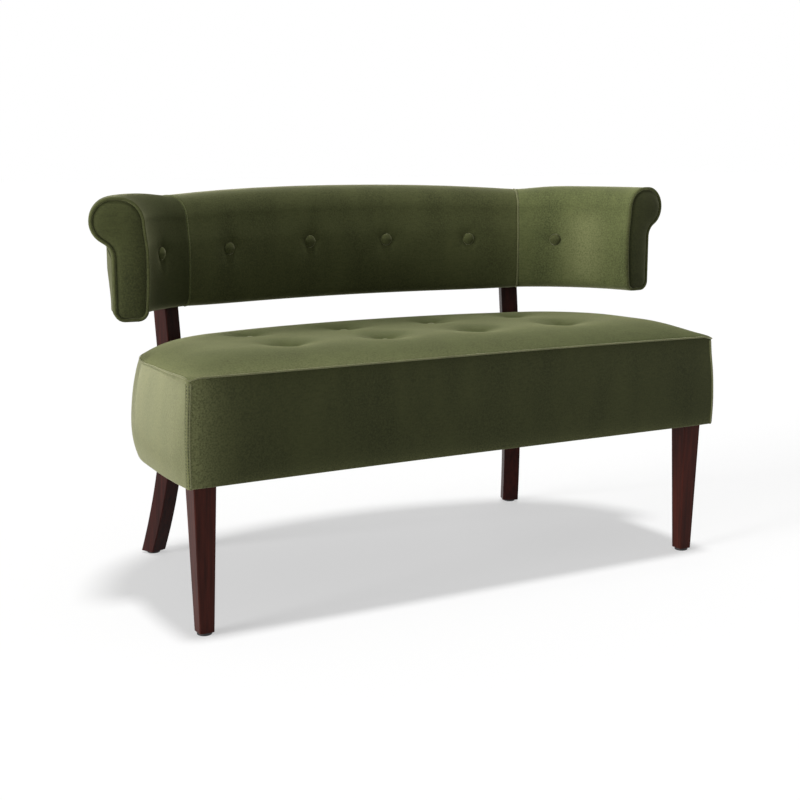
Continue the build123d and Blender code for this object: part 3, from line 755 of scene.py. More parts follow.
# %% [markdown]
# ## Wings
# Each wing is a pad of its own that starts at the seam and ends at the arm's front board. Mirroring one
# wing would be shorter, but the two are painted differently: the left one, in shade, darker, and the right
# one, in the light, paler, with a painted sheen between its button and the arm. So one function makes
# both, and an attribute on the vertices tells the velvet where to paint the sheen.

# %% Wings
fine_angle = radians(6)
past_board = 3 * mm / wing_radius
sheen_patch_run = 548 * mm
sheen_patch_width = 44 * mm
sheen_patch_height = 615 * mm
sheen_patch_reach = 75 * mm


def make_wing(side, word, material, sheen_patch_share):
    """One wing, from its seam with the middle to just past the board in the arm's end."""
    bm = bmesh.new()
    draw_tucked(bm, draw_wing_roll(bm), wing_thickness, wing_bottom_round)
    stand_at_seam(bm)
    ends = spin_on(bm, bm.edges[:], wing_centre_x, wing_centre_y, -fine_angle, fine_steps)
    turn = arm_angle + past_board - seam_angle - fine_angle
    spin_on(bm, ends, wing_centre_x, wing_centre_y, -turn, round(wing_radius * turn / spacing))
    for vert in bm.verts:
        vert.co.x *= side
    close_ends(bm)
    shape_back(bm)
    # Painted sheen: a pale upright patch between the right wing's button and the arm.
    painted_sheen = bm.verts.layers.float.new("painted_sheen")
    for vert in bm.verts:
        across = (abs(along_back(vert.co)[0]) - sheen_patch_run) / sheen_patch_width
        up = (vert.co.z - sheen_patch_height) / sheen_patch_reach
        vert[painted_sheen] = sheen_patch_share * exp(-across ** 2 - up ** 4)
    wing = finish_piece(bm, "inside_wing_" + word, material, 1)
    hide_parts("inside_wing_cover_" + word, "wing_foam_" + word)


# Painted light and shade: the left wing takes the darker copy, the right wing the paler one with a painted
# sheen patch.
make_wing(-1, "left", velvet_wing_painted_shade, 0)
make_wing(1, "right", velvet_wing_painted_light, 0.6)

# %% [markdown]
# ## Welts on the two seams
# Where the middle meets a wing, the folded edge of the cloth shows as a narrow pale welt in the groove. A
# line in the material would do from afar, but it has no edge that catches the light. Here the same section
# is drawn once more as a line, moved by the same rules as the cloth, and swept with a thin round cord.

# %% Welts
welt_radius = 2 * mm


def make_seam_welt(side, word, material):
    """The folded edge along a seam, from the bottom edge over the crest to the rear of the roll."""
    bm = bmesh.new()
    first = bm.verts.new(at(bottom_round, back_bottom))
    pen_arc(bm, first, at(bottom_round, inside_low), -pi / 2)
    vert = draw_inside(bm, bottom_round)
    pen_arc(bm, vert, at(roll_reach, roll_height), -pi / 2)
    close_outline(bm)
    order = [min(bm.verts, key=lambda drawn: drawn.co.z)]
    while len(order) < len(bm.verts):
        beside = [edge.other_vert(order[-1]) for edge in order[-1].link_edges]
        order.append([vert for vert in beside if vert not in order[-2:]][0])
    for vert in order:
        vert.co = back_place(side * seam_length, vert.co.y, vert.co.z)
    shape_back(bm)
    path = [vert.co.copy() for vert in order]
    bm.free()
    finish_piece(cord_along(path, welt_radius, False), "back_seam_welt_" + word, material)


# Painted highlight: the welts take the paler painted-light copies, so that they show as pale lines.
make_seam_welt(-1, "left", velvet_wing_painted_light)
make_seam_welt(1, "right", velvet_side_painted_light)

# %% [markdown]
# ## Outside covers
# The outside of the back hardly shows from the front, and is taken to be plain cloth pulled flat over
# boards, tucked up under the roll and round the bottom edge. It could be part of the pads before it, but it
# has its own seams and no padding. So it is a thin skin with a section of its own. The middle's skin is
# simply spun. Each wing's skin starts as deep as the middle and closes in to the arm, and its top edge
# follows the underside of the roll.

# %% Outside of the middle
cover_turn_in = 18 * mm
cover_top = roll_height - 3 * mm


def draw_outside_section(bm):
    """A thin skin: down the outside, round the bottom edge and a little way under."""
    round_reach = back_thickness - bottom_round
    inner_bottom = back_bottom + cover_thickness
    vert = bm.verts.new(at(back_thickness, cover_top))
    vert = pen_line(bm, vert, at(back_thickness, inside_low))
    vert = pen_arc(bm, vert, at(round_reach, inside_low), -pi / 2)
    vert = pen_line(bm, vert, at(cover_turn_in, back_bottom))
    vert = pen_line(bm, vert, at(cover_turn_in, inner_bottom))
    vert = pen_line(bm, vert, at(round_reach, inner_bottom))
    vert = pen_arc(bm, vert, at(round_reach, inside_low), pi / 2)
    vert = pen_line(bm, vert, at(back_thickness - cover_thickness, cover_top))
    pen_line(bm, vert, at(back_thickness, cover_top))
    close_outline(bm)


bm = bmesh.new()
draw_outside_section(bm)
spin_middle(bm)
for vert in bm.verts:
    vert.co.z -= bottom_sag(abs(along_back(vert.co)[0]), vert.co.z)
outside_back = finish_piece(bm, "outside_back", velvet)
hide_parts("outside_back_cover")

# %% How the outside of a wing closes in
outer_arm = wing_radius + wing_thickness
wing_turn = arm_angle - seam_angle
slim_share = 0.2
rounder_share = 0.6


def outside_reach(turned, height):
    """The reach of a wing's outside past the seam: slim low behind the arm, then as deep as the middle."""
    high = min(max((height - inside_low) / (neck_height - inside_low), 0), 1)
    slim = slim_share * (1 - high)
    share = min(max((1 - turned / wing_turn - slim) / (1 - slim), 0), 1)
    return wing_thickness + (back_thickness - wing_thickness) * share * share * (3 - 2 * share)


def under_roll(reach):
    """The height of the roll's underside, or of the neck below it, at a reach."""
    touch = roll_reach + (neck_reach - roll_reach) * roll_radius / (roll_radius + neck_round)
    if reach > touch:
        return roll_height - sqrt(max(roll_radius ** 2 - (reach - roll_reach) ** 2, 0))
    return neck_height + sqrt(max(neck_round ** 2 - (neck_reach - reach) ** 2, 0))


def round_bottom(reach, height, depth):
    """Rounds a wing's bottom edge, more towards the arm, and gives back the moved reach and height."""
    low = height - back_bottom
    if low >= wing_bottom_round or depth - reach >= wing_bottom_round:
        return reach, height
    under = wing_bottom_round - low
    behind = wing_bottom_round - depth + reach
    square = hypot(max(under, 0), max(behind, 0))
    if square <= wing_bottom_round - cover_thickness:
        return reach, height
    share = rounder_share * (back_thickness - depth) / (back_thickness - wing_thickness)
    push = (square - wing_bottom_round + cover_thickness) * share
    return reach - push * behind / square, height + push * under / square


print("under the roll at the arm:", round(under_roll(wing_thickness), 4))

# %% Outside of the wings
roll_gap = 0.5 * mm


def make_outside_wing(side, word):
    """The skin of one wing, moved in to its own depth and up under the roll."""
    bm = bmesh.new()
    draw_outside_section(bm)
    stand_at_seam(bm)
    spin_on(bm, bm.edges[:], wing_centre_x, wing_centre_y, -wing_turn, round(outer_arm * wing_turn / spacing))
    for vert in bm.verts:
        length, reach = along_back(vert.co)
        depth = outside_reach((length - seam_length) / wing_radius, vert.co.z)
        kept = (depth - bottom_round - cover_turn_in) / (back_thickness - bottom_round - cover_turn_in)
        if reach > back_thickness - bottom_round:
            reach -= back_thickness - depth
        else:
            reach = cover_turn_in + (reach - cover_turn_in) * kept
        reach, height = round_bottom(reach, vert.co.z, depth)
        height -= bottom_sag(length, height)
        if height > inside_low:
            top = under_roll(depth) - roll_gap
            height = inside_low + (height - inside_low) * (top - inside_low) / (cover_top - inside_low)
        vert.co = back_place(length, reach, height)
        vert.co.x *= side
    close_ends(bm)
    cover = finish_piece(bm, "outside_wing_" + word, velvet)
    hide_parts("outside_wing_cover_" + word)


make_outside_wing(-1, "left")
make_outside_wing(1, "right")

# %% [markdown]
# ## Arm fronts
# The front of each arm is closed by a lightly padded panel in the shape of the scroll, and a piping cord
# covered in velvet is sewn along its whole edge. A flat plate with a bevel would look hard. So the outline
# is filled, set in several times close to the edge, cut into a grid and raised by its distance from the
# edge, like a thin pillow. The cord is swept along the same outline, so that the two always meet.

# %% Outline and pillow of an arm's front
piping_radius = 3.4 * mm
piping_out = 2.2 * mm
facing_inset = 2.2 * mm
facing_rise = 9 * mm
# Widths of the rings along the edge in millimetres, narrow where the cloth turns down to the piping.
facing_steps = (0.5, 0.8, 1.2, 2, 3.2, 4.5)
facing_run = 32 * mm
facing_cell = 2 * spacing


def draw_arm_outline(bm):
    """The whole outline of the arm's end."""
    vert = draw_wing_roll(bm)
    low = back_bottom + wing_bottom_round
    vert = pen_line(bm, vert, at(wing_thickness, low))
    vert = pen_arc(bm, vert, at(wing_thickness - wing_bottom_round, low), -pi / 2)
    vert = pen_line(bm, vert, at(wing_bottom_round, back_bottom))
    pen_arc(bm, vert, at(wing_bottom_round, low), -pi / 2)
    close_outline(bm)


def on_arm_end(reach, height, out, side):
    """A point of the arm's end plane, moved out from it."""
    point = back_place(arm_length, reach, height)
    point += Vector((cos(arm_angle), -sin(arm_angle), 0)) * out
    point.x *= side
    return point


def from_edge(point, start, end):
    """The distance of a point from a straight edge."""
    share = min(max(intersect_point_line(point, start, end)[1], 0), 1)
    return (point - start.lerp(end, share)).length


print("piping of", 2 * piping_radius / mm, "mm round each arm front")

# %% Arm facings and piping


def make_arm_front(side, word, material):
    """The padded facing of one arm and the piping round it."""
    bm = bmesh.new()
    draw_arm_outline(bm)
    face = bmesh.ops.contextual_create(bm, geom=bm.edges[:])["faces"][0]
    bmesh.ops.delete(bm, geom=set_in(bm, face, piping_radius), context="FACES")
    path = [vert.co.copy() for vert in face.verts]
    bmesh.ops.delete(bm, geom=set_in(bm, face, facing_inset), context="FACES")
    for step in facing_steps:
        set_in(bm, face, step * mm)
    for number in range(1, round((back_top - back_bottom) / facing_cell)):
        cut_across(bm, (0, 0, back_bottom + number * facing_cell), (0, 0, 1))
    for number in range(1, round(back_thickness / facing_cell)):
        cut_across(bm, (0, number * facing_cell, 0), (0, 1, 0))
    for vert in bm.verts:
        run = min(from_edge(vert.co, path[number - 1], path[number]) for number in range(len(path)))
        vert.co.x = facing_rise * sqrt(1 - min(max(0, 1 - (run - facing_inset) / facing_run), 1) ** 2)
    for vert in bm.verts:
        vert.co = on_arm_end(vert.co.y, vert.co.z, vert.co.x, side)
    turn_outward(bm, on_arm_end(core_reach, core_high, -core_reach, side))
    facing = finish_piece(bm, "arm_facing_panel_" + word, material, 1)
    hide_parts("arm_facing_" + word)

    bm = cord_along([on_arm_end(co.y, co.z, piping_out, side) for co in path], piping_radius, True)
    piping = finish_piece(bm, "arm_piping_cord_" + word, velvet_back_painted_light)
    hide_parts("arm_piping_" + word)


# Painted shade: the right arm's front, which faces away from the light, takes the darker copy.
make_arm_front(-1, "left", velvet)
make_arm_front(1, "right", velvet_front_painted_shade)

# %% [markdown]
# ## The plan of the seat
# From above, the seat has a straight front, straight sides, round rear corners and a slightly bowed rear
# between the posts. The top cover, the border panels, the seam and the lining all follow this one plan. A
# shape drawn by eye would do for one of them, but not keep four pieces together. So the plan is worked out
# from the arcs once, and a few functions tell how far a point lies from its edges and which way is inward.

# %% Sizes of the seat
seat_half_width = 570 * mm
seat_bottom = 272.5 * mm
seat_front_height = 459 * mm
seat_rear_height = 445 * mm
seat_bulge = 2.5 * mm
seat_front = -overall_depth / 2 + seat_bulge
seat_seam_inset = 6 * mm
post_reach_at_seat = 38 * mm
post_gap = 0.3 * mm

# The rear corner meets the seat's side and, at the angle of the back's seam, the front of the post.
rest_radius = wing_radius + post_reach_at_seat - post_gap - seat_bulge
rest_x = wing_centre_x + rest_radius * sin(seam_angle)
rest_y = wing_centre_y + rest_radius * cos(seam_angle)
corner_radius = (seat_half_width - rest_x) / (1 - sin(seam_angle))
corner_x = seat_half_width - corner_radius
corner_y = rest_y - corner_radius * cos(seam_angle)
rear_radius = corner_radius + corner_x / sin(bow_angle)
rear_centre_y = corner_y - corner_x / tan(bow_angle)
seat_depth = rear_centre_y + rear_radius - seat_front
print("seat depth:", round(seat_depth, 4), "rear corner radius:", round(corner_radius, 4))

# %% The plan


def seam_height(y):
    """The height of the seam round the top, which falls to the rear."""
    return seat_front_height + (seat_rear_height - seat_front_height) * (y - seat_front) / seat_depth


def draw_seat_plan(bm, inset, step):
    """The seat's outline in plan, with its front and sides set in from the outer edge."""
    width = seat_half_width - inset
    up = (0, 0, 1)
    vert = bm.verts.new((-width, seat_front + inset, 0))
    vert = pen_line(bm, vert, Vector((width, seat_front + inset, 0)), step)
    vert = pen_line(bm, vert, Vector((width, corner_y, 0)), step)
    vert = pen_arc(bm, vert, Vector((corner_x, corner_y, 0)), pi / 2 - bow_angle, up, step)
    vert = pen_arc(bm, vert, Vector((0, rear_centre_y, 0)), 2 * bow_angle, up, step)
    vert = pen_arc(bm, vert, Vector((-corner_x, corner_y, 0)), pi / 2 - bow_angle, up, step)
    pen_line(bm, vert, Vector((-width, seat_front + inset, 0)), step)
    close_outline(bm)


print("the seam falls from", seat_front_height, "to", round(seam_height(seat_front + seat_depth), 4))

# %% Distances inside the plan


def inside_plan(x, y):
    """The distances of a point from the front edge and from the sides and rear."""
    out_x, out_y = abs(x) - corner_x, y - corner_y
    if out_y <= 0:
        return y - seat_front, seat_half_width - abs(x)
    if atan2(out_x, out_y) >= bow_angle:
        return y - seat_front, corner_radius - hypot(out_x, out_y)
    return y - seat_front, rear_radius - hypot(x, y - rear_centre_y)


def plan_inward(x, y):
    """The direction from a point of the plan away from the nearest side or rear edge."""
    side = 1 if x >= 0 else -1
    out_x, out_y = abs(x) - corner_x, y - corner_y
    if out_y <= 0:
        return Vector((-side, 0, 0))
    if atan2(out_x, out_y) >= bow_angle:
        return -Vector((side * out_x, out_y, 0)).normalized()
    return -Vector((x, y - rear_centre_y, 0)).normalized()


print("the middle lies", round(min(inside_plan(0, 0)), 4), "from the nearest edge")

# %% [markdown]
# ## Where the seat is not regular
# A sewn seat is never quite regular: its rear corners are rounder on the left, the seam dips at the two
# front corners, the bottom edge hangs a little at the left end, and the front swells between its corners.
# Noise could break up a perfect shape, but it would not put these in the right place. So each is a small
# function with a size that can be measured, and all pieces of the seat use the same ones.

# %% Shoulders and dips
shoulder_start = -250 * mm
shoulder_length = 310 * mm
shoulder_left = 9 * mm
shoulder_right = 4 * mm
left_hang = 3.5 * mm
dip_reach = 30 * mm
dip_depth = 8 * mm
right_fall = 4 * mm
right_fall_run = 220 * mm


def shoulder(x, y):
    """How much further in the top seam lies towards the rear corners, more on the rounder left."""
    share = min(max((y - shoulder_start) / shoulder_length, 0), 1)
    right = min(max(0.5 + x / seat_half_width, 0), 1)
    return (shoulder_left + (shoulder_right - shoulder_left) * right) * share * share * (3 - 2 * share)


def low_edge(x):
    """The height of the border's bottom edge, which hangs a little at the left end."""
    return seat_bottom - left_hang * max(-x / seat_half_width, 0) ** 2


def corner_drop(x, y):
    """How far the top seam dips at the two front corners, and along the front of the right end."""
    near = hypot(seat_half_width - abs(x), y - seat_front) / dip_reach
    towards_front = max(1 - (y - seat_front) / right_fall_run, 0)
    return dip_depth * max(1 - near, 0) ** 2 + right_fall * max(x / seat_half_width, 0) ** 2 * towards_front


print("the seam dips", dip_depth / mm, "mm at the front corners")

# %% Eased front corners
ease_width = 70 * mm
ease_depth = 60 * mm
ease_left = 4 * mm
ease_right = 2 * mm
fill_top = 4 * mm
fill_bottom = 2.5 * mm
fill_bottom_share = 0.4


def ease_corner(co):
    """Moves a point near a front corner: back, so that the front swells, and out at the fuller right end."""
    from_front, from_side = max(co.y - seat_front, 0), max(seat_half_width - abs(co.x), 0)
    beside = max(1 - from_side / ease_width, 0)
    near = max(1 - from_front / ease_depth, 0)
    back = (ease_left if co.x < 0 else ease_right) * beside ** 2 * near
    part = min(max((co.z - seat_bottom) / (seat_front_height - seat_bottom), 0), 1)
    fill = fill_top * part ** 2 + fill_bottom * max(1 - part / fill_bottom_share, 0)
    out = fill * beside * near if co.x > 0 else 0
    return Vector((co.x + out, co.y + back, co.z))


print("front corners set back:", ease_left / mm, "mm left,", ease_right / mm, "mm right")

# %% [markdown]
# ## The seat top
# The top is one cover over a crowned cushion, drawn down by eight buttons in two rows. Each button makes a
# wide soft hollow and a narrow bed, with a few shallow pleats. A height for every point of the plan is all
# that this needs, so the plan is filled, set in finely along the seam where the cloth turns over, cut into
# a grid, and lifted to that height. A simulated cloth would hide the buttons' exact places in its settings.

# %% How the buttons draw the seat down
seat_button_x = (102.5 * mm, 307.5 * mm)
seat_button_y = (-137.5 * mm, 37.4 * mm)
seat_buttons = [(side * x, y) for y in seat_button_y for x in seat_button_x for side in (-1, 1)]
rear_row_share = 0.7
seat_hollow_depth = 11 * mm
seat_hollow_reach = 43 * mm
seat_bed_depth = 6 * mm
seat_bed_reach = 17 * mm
seat_pull_limit = 160 * mm
seat_pleats = 4
seat_pleat_share = 0.16
seat_pleat_reach = 50 * mm


def seat_pull(x, y):
    """How far the eight buttons draw the seat down at a point."""
    total = 0
    for number, (button_x, button_y) in enumerate(seat_buttons):
        across, along = x - button_x, y - button_y
        distance = hypot(across, along)
        if distance < seat_pull_limit:
            wave = sin(seat_pleats * atan2(along, across) + number) * exp(-(distance / seat_pleat_reach) ** 2)
            hollow = seat_hollow_depth * exp(-(distance / seat_hollow_reach) ** 2)
            bed = seat_bed_depth * exp(-(distance / seat_bed_reach) ** 2)
            share = rear_row_share if button_y > 0 else 1
            total += share * ((1 + seat_pleat_share * wave) * hollow + bed)
    return total


print("a front button draws the seat down by", round(seat_pull(*seat_buttons[0]) / mm, 1), "mm")

# %% The height of the seat
seat_crown = 28 * mm
front_run = 150 * mm
round_run = 130 * mm
fuller_right = 14 * mm
edge_round = 4 * mm
rise_curve = 2.4
drop_run = 45 * mm
pull_run = 60 * mm


def rising(distance, run):
    """Rises steeply from an edge and levels out at the end of the run."""
    part = min(max(distance / run, 0), 1)
    return 1 - (1 - part) ** rise_curve


def seat_surface(x, y):
    """The height of the seat's top at a point of the plan."""
    front, round_edge = inside_plan(x, y)
    front -= seat_seam_inset
    round_edge -= seat_seam_inset
    run = round_run - fuller_right * max(x / seat_half_width, 0)
    crown = seat_crown * rising(front, front_run) * rising(round_edge, run)
    near = min(front, round_edge)
    lip = 0
    if near < edge_round:
        lip = edge_round - sqrt(max(edge_round ** 2 - (edge_round - max(near, 0)) ** 2, 0))
    drop = corner_drop(x, y) * (1 - rising(near, drop_run))
    return seam_height(y) + crown - seat_pull(x, y) * rising(near, pull_run) - lip - drop


print("middle of the seat at", round(seat_surface(0, 0), 4))

# %% Seat top
cut_spacing = 8 * mm
rim_gap = 0.3 * mm
# Widths of the rings along the seam in millimetres, narrow where the cloth turns over.
rim_steps = (0.3, 0.5, 0.9, 1.5, 2.5, 4)
shoulder_run = 80 * mm
skirt_depth = 14 * mm
sheen_edge_share = 0.5
sheen_edge_run = 40 * mm

bm = bmesh.new()
draw_seat_plan(bm, seat_seam_inset + rim_gap, cut_spacing)
top_face = bmesh.ops.contextual_create(bm, geom=bm.edges[:])["faces"][0]
for step in rim_steps:
    set_in(bm, top_face, step * mm)
for number in range(round(-seat_half_width / cut_spacing) + 1, round(seat_half_width / cut_spacing)):
    cut_across(bm, (number * cut_spacing, 0, 0), (1, 0, 0))
for number in range(1, round(seat_depth / cut_spacing)):
    cut_across(bm, (0, seat_front + number * cut_spacing, 0), (0, 1, 0))
# Painted sheen: the top is painted paler along its left edges, where the light falls.
painted_sheen = bm.verts.layers.float.new("painted_sheen")
for vert in bm.verts:
    x, y = vert.co.x, vert.co.y
    edge = min(inside_plan(x, y)) - seat_seam_inset
    left = min(max(0.5 - x / seat_half_width, 0), 1)
    vert[painted_sheen] = sheen_edge_share * exp(-edge / sheen_edge_run) * left
    near = (inside_plan(x, y)[1] - seat_seam_inset) / shoulder_run
    drawn_in = shoulder(x, y) * min(max(1 - near, 0), 1) ** 2
    vert.co = ease_corner(Vector((x, y, seat_surface(x, y))) + plan_inward(x, y) * drawn_in)
edge = [part for part in bm.edges if part.is_boundary]
made = bmesh.ops.extrude_edge_only(bm, edges=edge)["geom"]
skirt = [part for part in made if isinstance(part, bmesh.types.BMVert)]
bmesh.ops.translate(bm, verts=skirt, vec=(0, 0, -skirt_depth))
bmesh.ops.recalc_face_normals(bm, faces=bm.faces)
seat_top = finish_piece(bm, "seat_cushion_top", velvet_top_painted_light, 1)
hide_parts("seat_top_cover", "seat_foam", "seat_border_padding")

# %% [markdown]
# ## Border panels
# Below the top seam the seat is closed by four panels of cloth over padding: front, two sides and rear,
# sewn together at the front corners and beside the posts. They bulge low down, most at the sides, and turn
# in at every seam. They could be pulled out of the top's edge in one piece, but then no seam would show. So
# each is a flat grid of cloth, one column per place along the plan and one row per height, bent to its
# place, and a Solidify modifier gives it the thickness of cloth.

# %% The run round the border
side_run = corner_y - seat_front
corner_run = corner_radius * (pi / 2 - bow_angle)
rear_run = rear_radius * bow_angle
border_run = side_run + corner_run + rear_run
rear_seam_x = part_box("seat_rear_panel")[1].x
rear_seam_turn = atan2(sqrt(corner_radius ** 2 - (rear_seam_x - corner_x) ** 2), rear_seam_x - corner_x)
rear_seam_run = side_run + corner_radius * rear_seam_turn


def plan_at(run, out):
    """The point a run back along the right edge of the seat from its front corner, moved out from it."""
    if run <= side_run:
        return seat_half_width + out, seat_front + run
    if run <= side_run + corner_run:
        turned = (run - side_run) / corner_radius
        return corner_x + (corner_radius + out) * cos(turned), corner_y + (corner_radius + out) * sin(turned)
    turned = bow_angle - (run - side_run - corner_run) / rear_radius
    return (rear_radius + out) * sin(turned), rear_centre_y + (rear_radius + out) * cos(turned)


print("half run round the seat:", round(border_run, 4), "and to the rear seam:", round(rear_seam_run, 4))

# %% A flat grid of cloth
border_height = seat_front_height - seat_bottom
panel_round = 3.5 * mm
# Places near a seam, as shares of the radius with which the cloth turns in.
close_places = (0, 0.12, 0.35, 0.7, 1.2, 2)


def stations(start, end):
    """Places along a panel: close together at both ends, where the cloth turns into the seam."""
    first = [start + panel_round * share for share in close_places]
    last = [end - panel_round * share for share in reversed(close_places)]
    count = max(2, round((last[0] - first[-1]) / (2 * spacing)))
    between = [first[-1] + (last[0] - first[-1]) * number / count for number in range(1, count)]
    return first + between + last


def cloth_grid(columns, rows):
    """A flat grid of cloth: a drawn line, extruded row by row. X is the run and Z the share of the height."""
    bm = bmesh.new()
    vert = bm.verts.new((columns[0], 0, rows[0]))
    for column in columns[1:]:
        vert = bmesh.ops.extrude_vert_indiv(bm, verts=[vert])["verts"][0]
        vert.co = (column, 0, rows[0])
    edges = bm.edges[:]
    for row in rows[1:]:
        made = bmesh.ops.extrude_edge_only(bm, edges=edges)["geom"]
        fresh = [part for part in made if isinstance(part, bmesh.types.BMVert)]
        for part in fresh:
            part.co.z = row
        edges = [part for part in made if isinstance(part, bmesh.types.BMEdge)
                 and all(vert in fresh for vert in part.verts)]
    return bm


border_rows = [place / border_height for place in stations(0, border_height)]
print("rows of a border panel:", len(border_rows))

# %% How the border stands out
bulge_top = 0.82
inset_curve = 2.2


def border_out(part):
    """How far the border stands out at a share of its height: a low belly, and set in at the top seam."""
    share = min(max(part, 0), 1)
    return seat_bulge * sin(pi * min(share / bulge_top, 1)) - seat_seam_inset * share ** inset_curve


def rounded(distance):
    """How far the cloth turns in at a distance from a seam."""
    if distance >= panel_round:
        return 0
    return panel_round - sqrt(panel_round ** 2 - (panel_round - max(distance, 0)) ** 2)


print("the border stands out by", seat_bulge / mm, "mm")

# %% Points of the sides and rear, and finished panels
belly_y = -150 * mm
belly_length = 170 * mm
belly_out = 11 * mm
belly_curve = 0.8
belly_tuck = 7 * mm
belly_tuck_share = 0.25
belly_from_corner = 60 * mm
low_shoulder_share = 0.4
high_shoulder_curve = 7
cloth_thickness = 1.5 * mm


def border_point(run, part, side, ends):
    """A point of the border on one side, from the run along the plan and the share of the height."""
    x, y = plan_at(run, 0)
    low = low_edge(side * x)
    height = low + part * (seam_height(y) - corner_drop(side * x, y) - low)
    belly = belly_out * max(1 - part, 0) ** belly_curve
    belly -= belly_tuck * max(1 - part / belly_tuck_share, 0) ** 2
    out = border_out(part)
    out += belly * exp(-((y - belly_y) / belly_length) ** 2) * rising(run, belly_from_corner)
    low_share = max(1 - part / low_shoulder_share, 0) ** 2
    out -= shoulder(side * x, y) * (low_share + max(part, 0) ** high_shoulder_curve)
    out -= rounded((1 - part) * border_height) + rounded(part * border_height)
    out -= max(rounded(abs(run - end)) for end in ends)
    x, y = plan_at(run, out)
    return Vector((side * x, y, height))


def finish_panel(bm, name, material, node):
    """Makes a border panel an object and gives the cloth its thickness inwards."""
    turn_outward(bm, Vector((0, 0, seat_bottom + border_height / 2)))
    panel = finish_piece(bm, name, material, 1)
    backing = panel.modifiers.new("cloth thickness", "SOLIDIFY")
    backing.thickness = cloth_thickness
    backing.offset = -1
    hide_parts(node)


print("belly of the sides:", belly_out / mm, "mm")

# %% Front panel
# Painted sheen: the left end, where the light falls, is painted paler, and the bottom a little paler too.
sheen_end_share = 0.75
sheen_end_run = 38 * mm
paler_bottom_share = 0.2
paler_bottom_run = 12 * mm

bm = cloth_grid(stations(-seat_half_width, seat_half_width), border_rows)
painted_sheen = bm.verts.layers.float.new("painted_sheen")
for vert in bm.verts:
    x, part = vert.co.x, vert.co.z
    share = x / seat_half_width
    out = border_out(part) - rounded((1 - abs(share)) * seat_half_width)
    out -= rounded((1 - part) * border_height) + rounded(part * border_height)
    high = seat_front_height - corner_drop(x, seat_front)
    low = low_edge(x)
    at_end = sheen_end_share * exp(-(share + 1) * seat_half_width / sheen_end_run)
    vert[painted_sheen] = max(at_end, paler_bottom_share * exp(-part * border_height / paler_bottom_run))
    width = seat_half_width + border_out(part)
    vert.co = ease_corner(Vector((share * width, seat_front - out, low + part * (high - low))))
finish_panel(bm, "seat_front", velvet_front_painted_shade, "seat_front_panel")

# %% Side and rear panels
corner_lean_run = 30 * mm
for side, word in ((-1, "left"), (1, "right")):
    bm = cloth_grid(stations(0, rear_seam_run), border_rows)
    for vert in bm.verts:
        vert.co = border_point(vert.co.x, vert.co.z, side, (0, rear_seam_run))
        if vert.co.y < seat_front + corner_lean_run:
            lean = border_out((vert.co.z - seat_bottom) / border_height)
            vert.co.y -= lean * (1 - (vert.co.y - seat_front) / corner_lean_run)
        vert.co = ease_corner(vert.co)
    finish_panel(bm, "seat_side_" + word, velvet_side_painted_light, "seat_side_panel_" + word)

half_rear = border_run - rear_seam_run
bm = cloth_grid(stations(-half_rear, half_rear), border_rows)
for vert in bm.verts:
    side = 1 if vert.co.x >= 0 else -1
    vert.co = border_point(border_run - abs(vert.co.x), vert.co.z, side, (rear_seam_run,))
finish_panel(bm, "seat_rear", velvet, "seat_rear_panel")

# %% [markdown]
# ## Seams and stitches of the seat
# Round the top runs a sewn edge that catches the light as a thin pale line, and each front corner has a
# seam with a folded edge on either side and short dark stitches between. These are only a few millimetres
# wide, but the eye reads them as sewn cloth. A bump in the material would not break the outline, so thin
# cords and small stretched spheres are laid along the same points as the cloth.

# %% The seam round the top
ridge_radius = 1.6 * mm
ridge_drop = 1.2 * mm
ridge_inset = seat_seam_inset + 0.2 * mm


def ridge_point(run, side):
    """A point of the sewn edge round the top, from the run back along one side."""
    x, y = plan_at(run, 0)
    x, y = plan_at(run, -ridge_inset - shoulder(side * x, y))
    return ease_corner(Vector((side * x, y, seam_height(y) - ridge_drop - corner_drop(side * x, y))))


ridge_count = round(border_run / (2 * spacing))
ridge_length = border_run - ridge_inset
ridge_runs = [ridge_inset + ridge_length * number / ridge_count for number in range(ridge_count)]
front_count = round(2 * seat_half_width / (4 * spacing))
ridge = [ridge_point(run, -1) for run in reversed(ridge_runs)]
for number in range(1, front_count):
    x = (seat_half_width - ridge_inset) * (2 * number / front_count - 1)
    y = seat_front + ridge_inset
    ridge.append(ease_corner(Vector((x, y, seat_front_height - ridge_drop - corner_drop(x, y)))))
ridge += [ridge_point(run, 1) for run in ridge_runs] + [ridge_point(border_run, 1)]
# Painted highlight: the seam cord takes the palest painted-light copy, so that it shows as a pale line.
finish_piece(cord_along(ridge, ridge_radius, True), "seat_top_seam", velvet_side_painted_light)

# %% Folded edges and stitches at the front corners
edge_radius = 1.3 * mm
edge_on_front = 5.5 * mm
edge_on_side = 6.5 * mm
edge_start = 0.02
edge_span = 0.94
edge_count = 24
edge_shares = [edge_start + edge_span * number / edge_count for number in range(edge_count + 1)]
stitch_from_corner = 3 * mm
stitch_length = 3.4 * mm
stitch_pitch = 5.6 * mm
stitch_radius = 0.7 * mm


def corner_point(part, side, on_front, on_side):
    """A point beside a front corner at a share of the height: so far in on the front, or back on the side."""
    out = border_out(part)
    x, y = side * (seat_half_width + out - on_front), seat_front - out + on_side
    low = low_edge(x)
    return ease_corner(Vector((x, y, low + part * (seat_front_height - corner_drop(x, y) - low))))


for side, word in ((-1, "left"), (1, "right")):
    for on_front, on_side, panel in ((edge_on_front, 0, "front"), (0, edge_on_side, "side")):
        line = [corner_point(part, side, on_front, on_side) for part in edge_shares]
        name = "seam_edge_" + panel + "_" + word
        # Painted highlight: the folded edges take the palest painted-light copy.
        finish_piece(cord_along(line, edge_radius, False), name, velvet_side_painted_light)

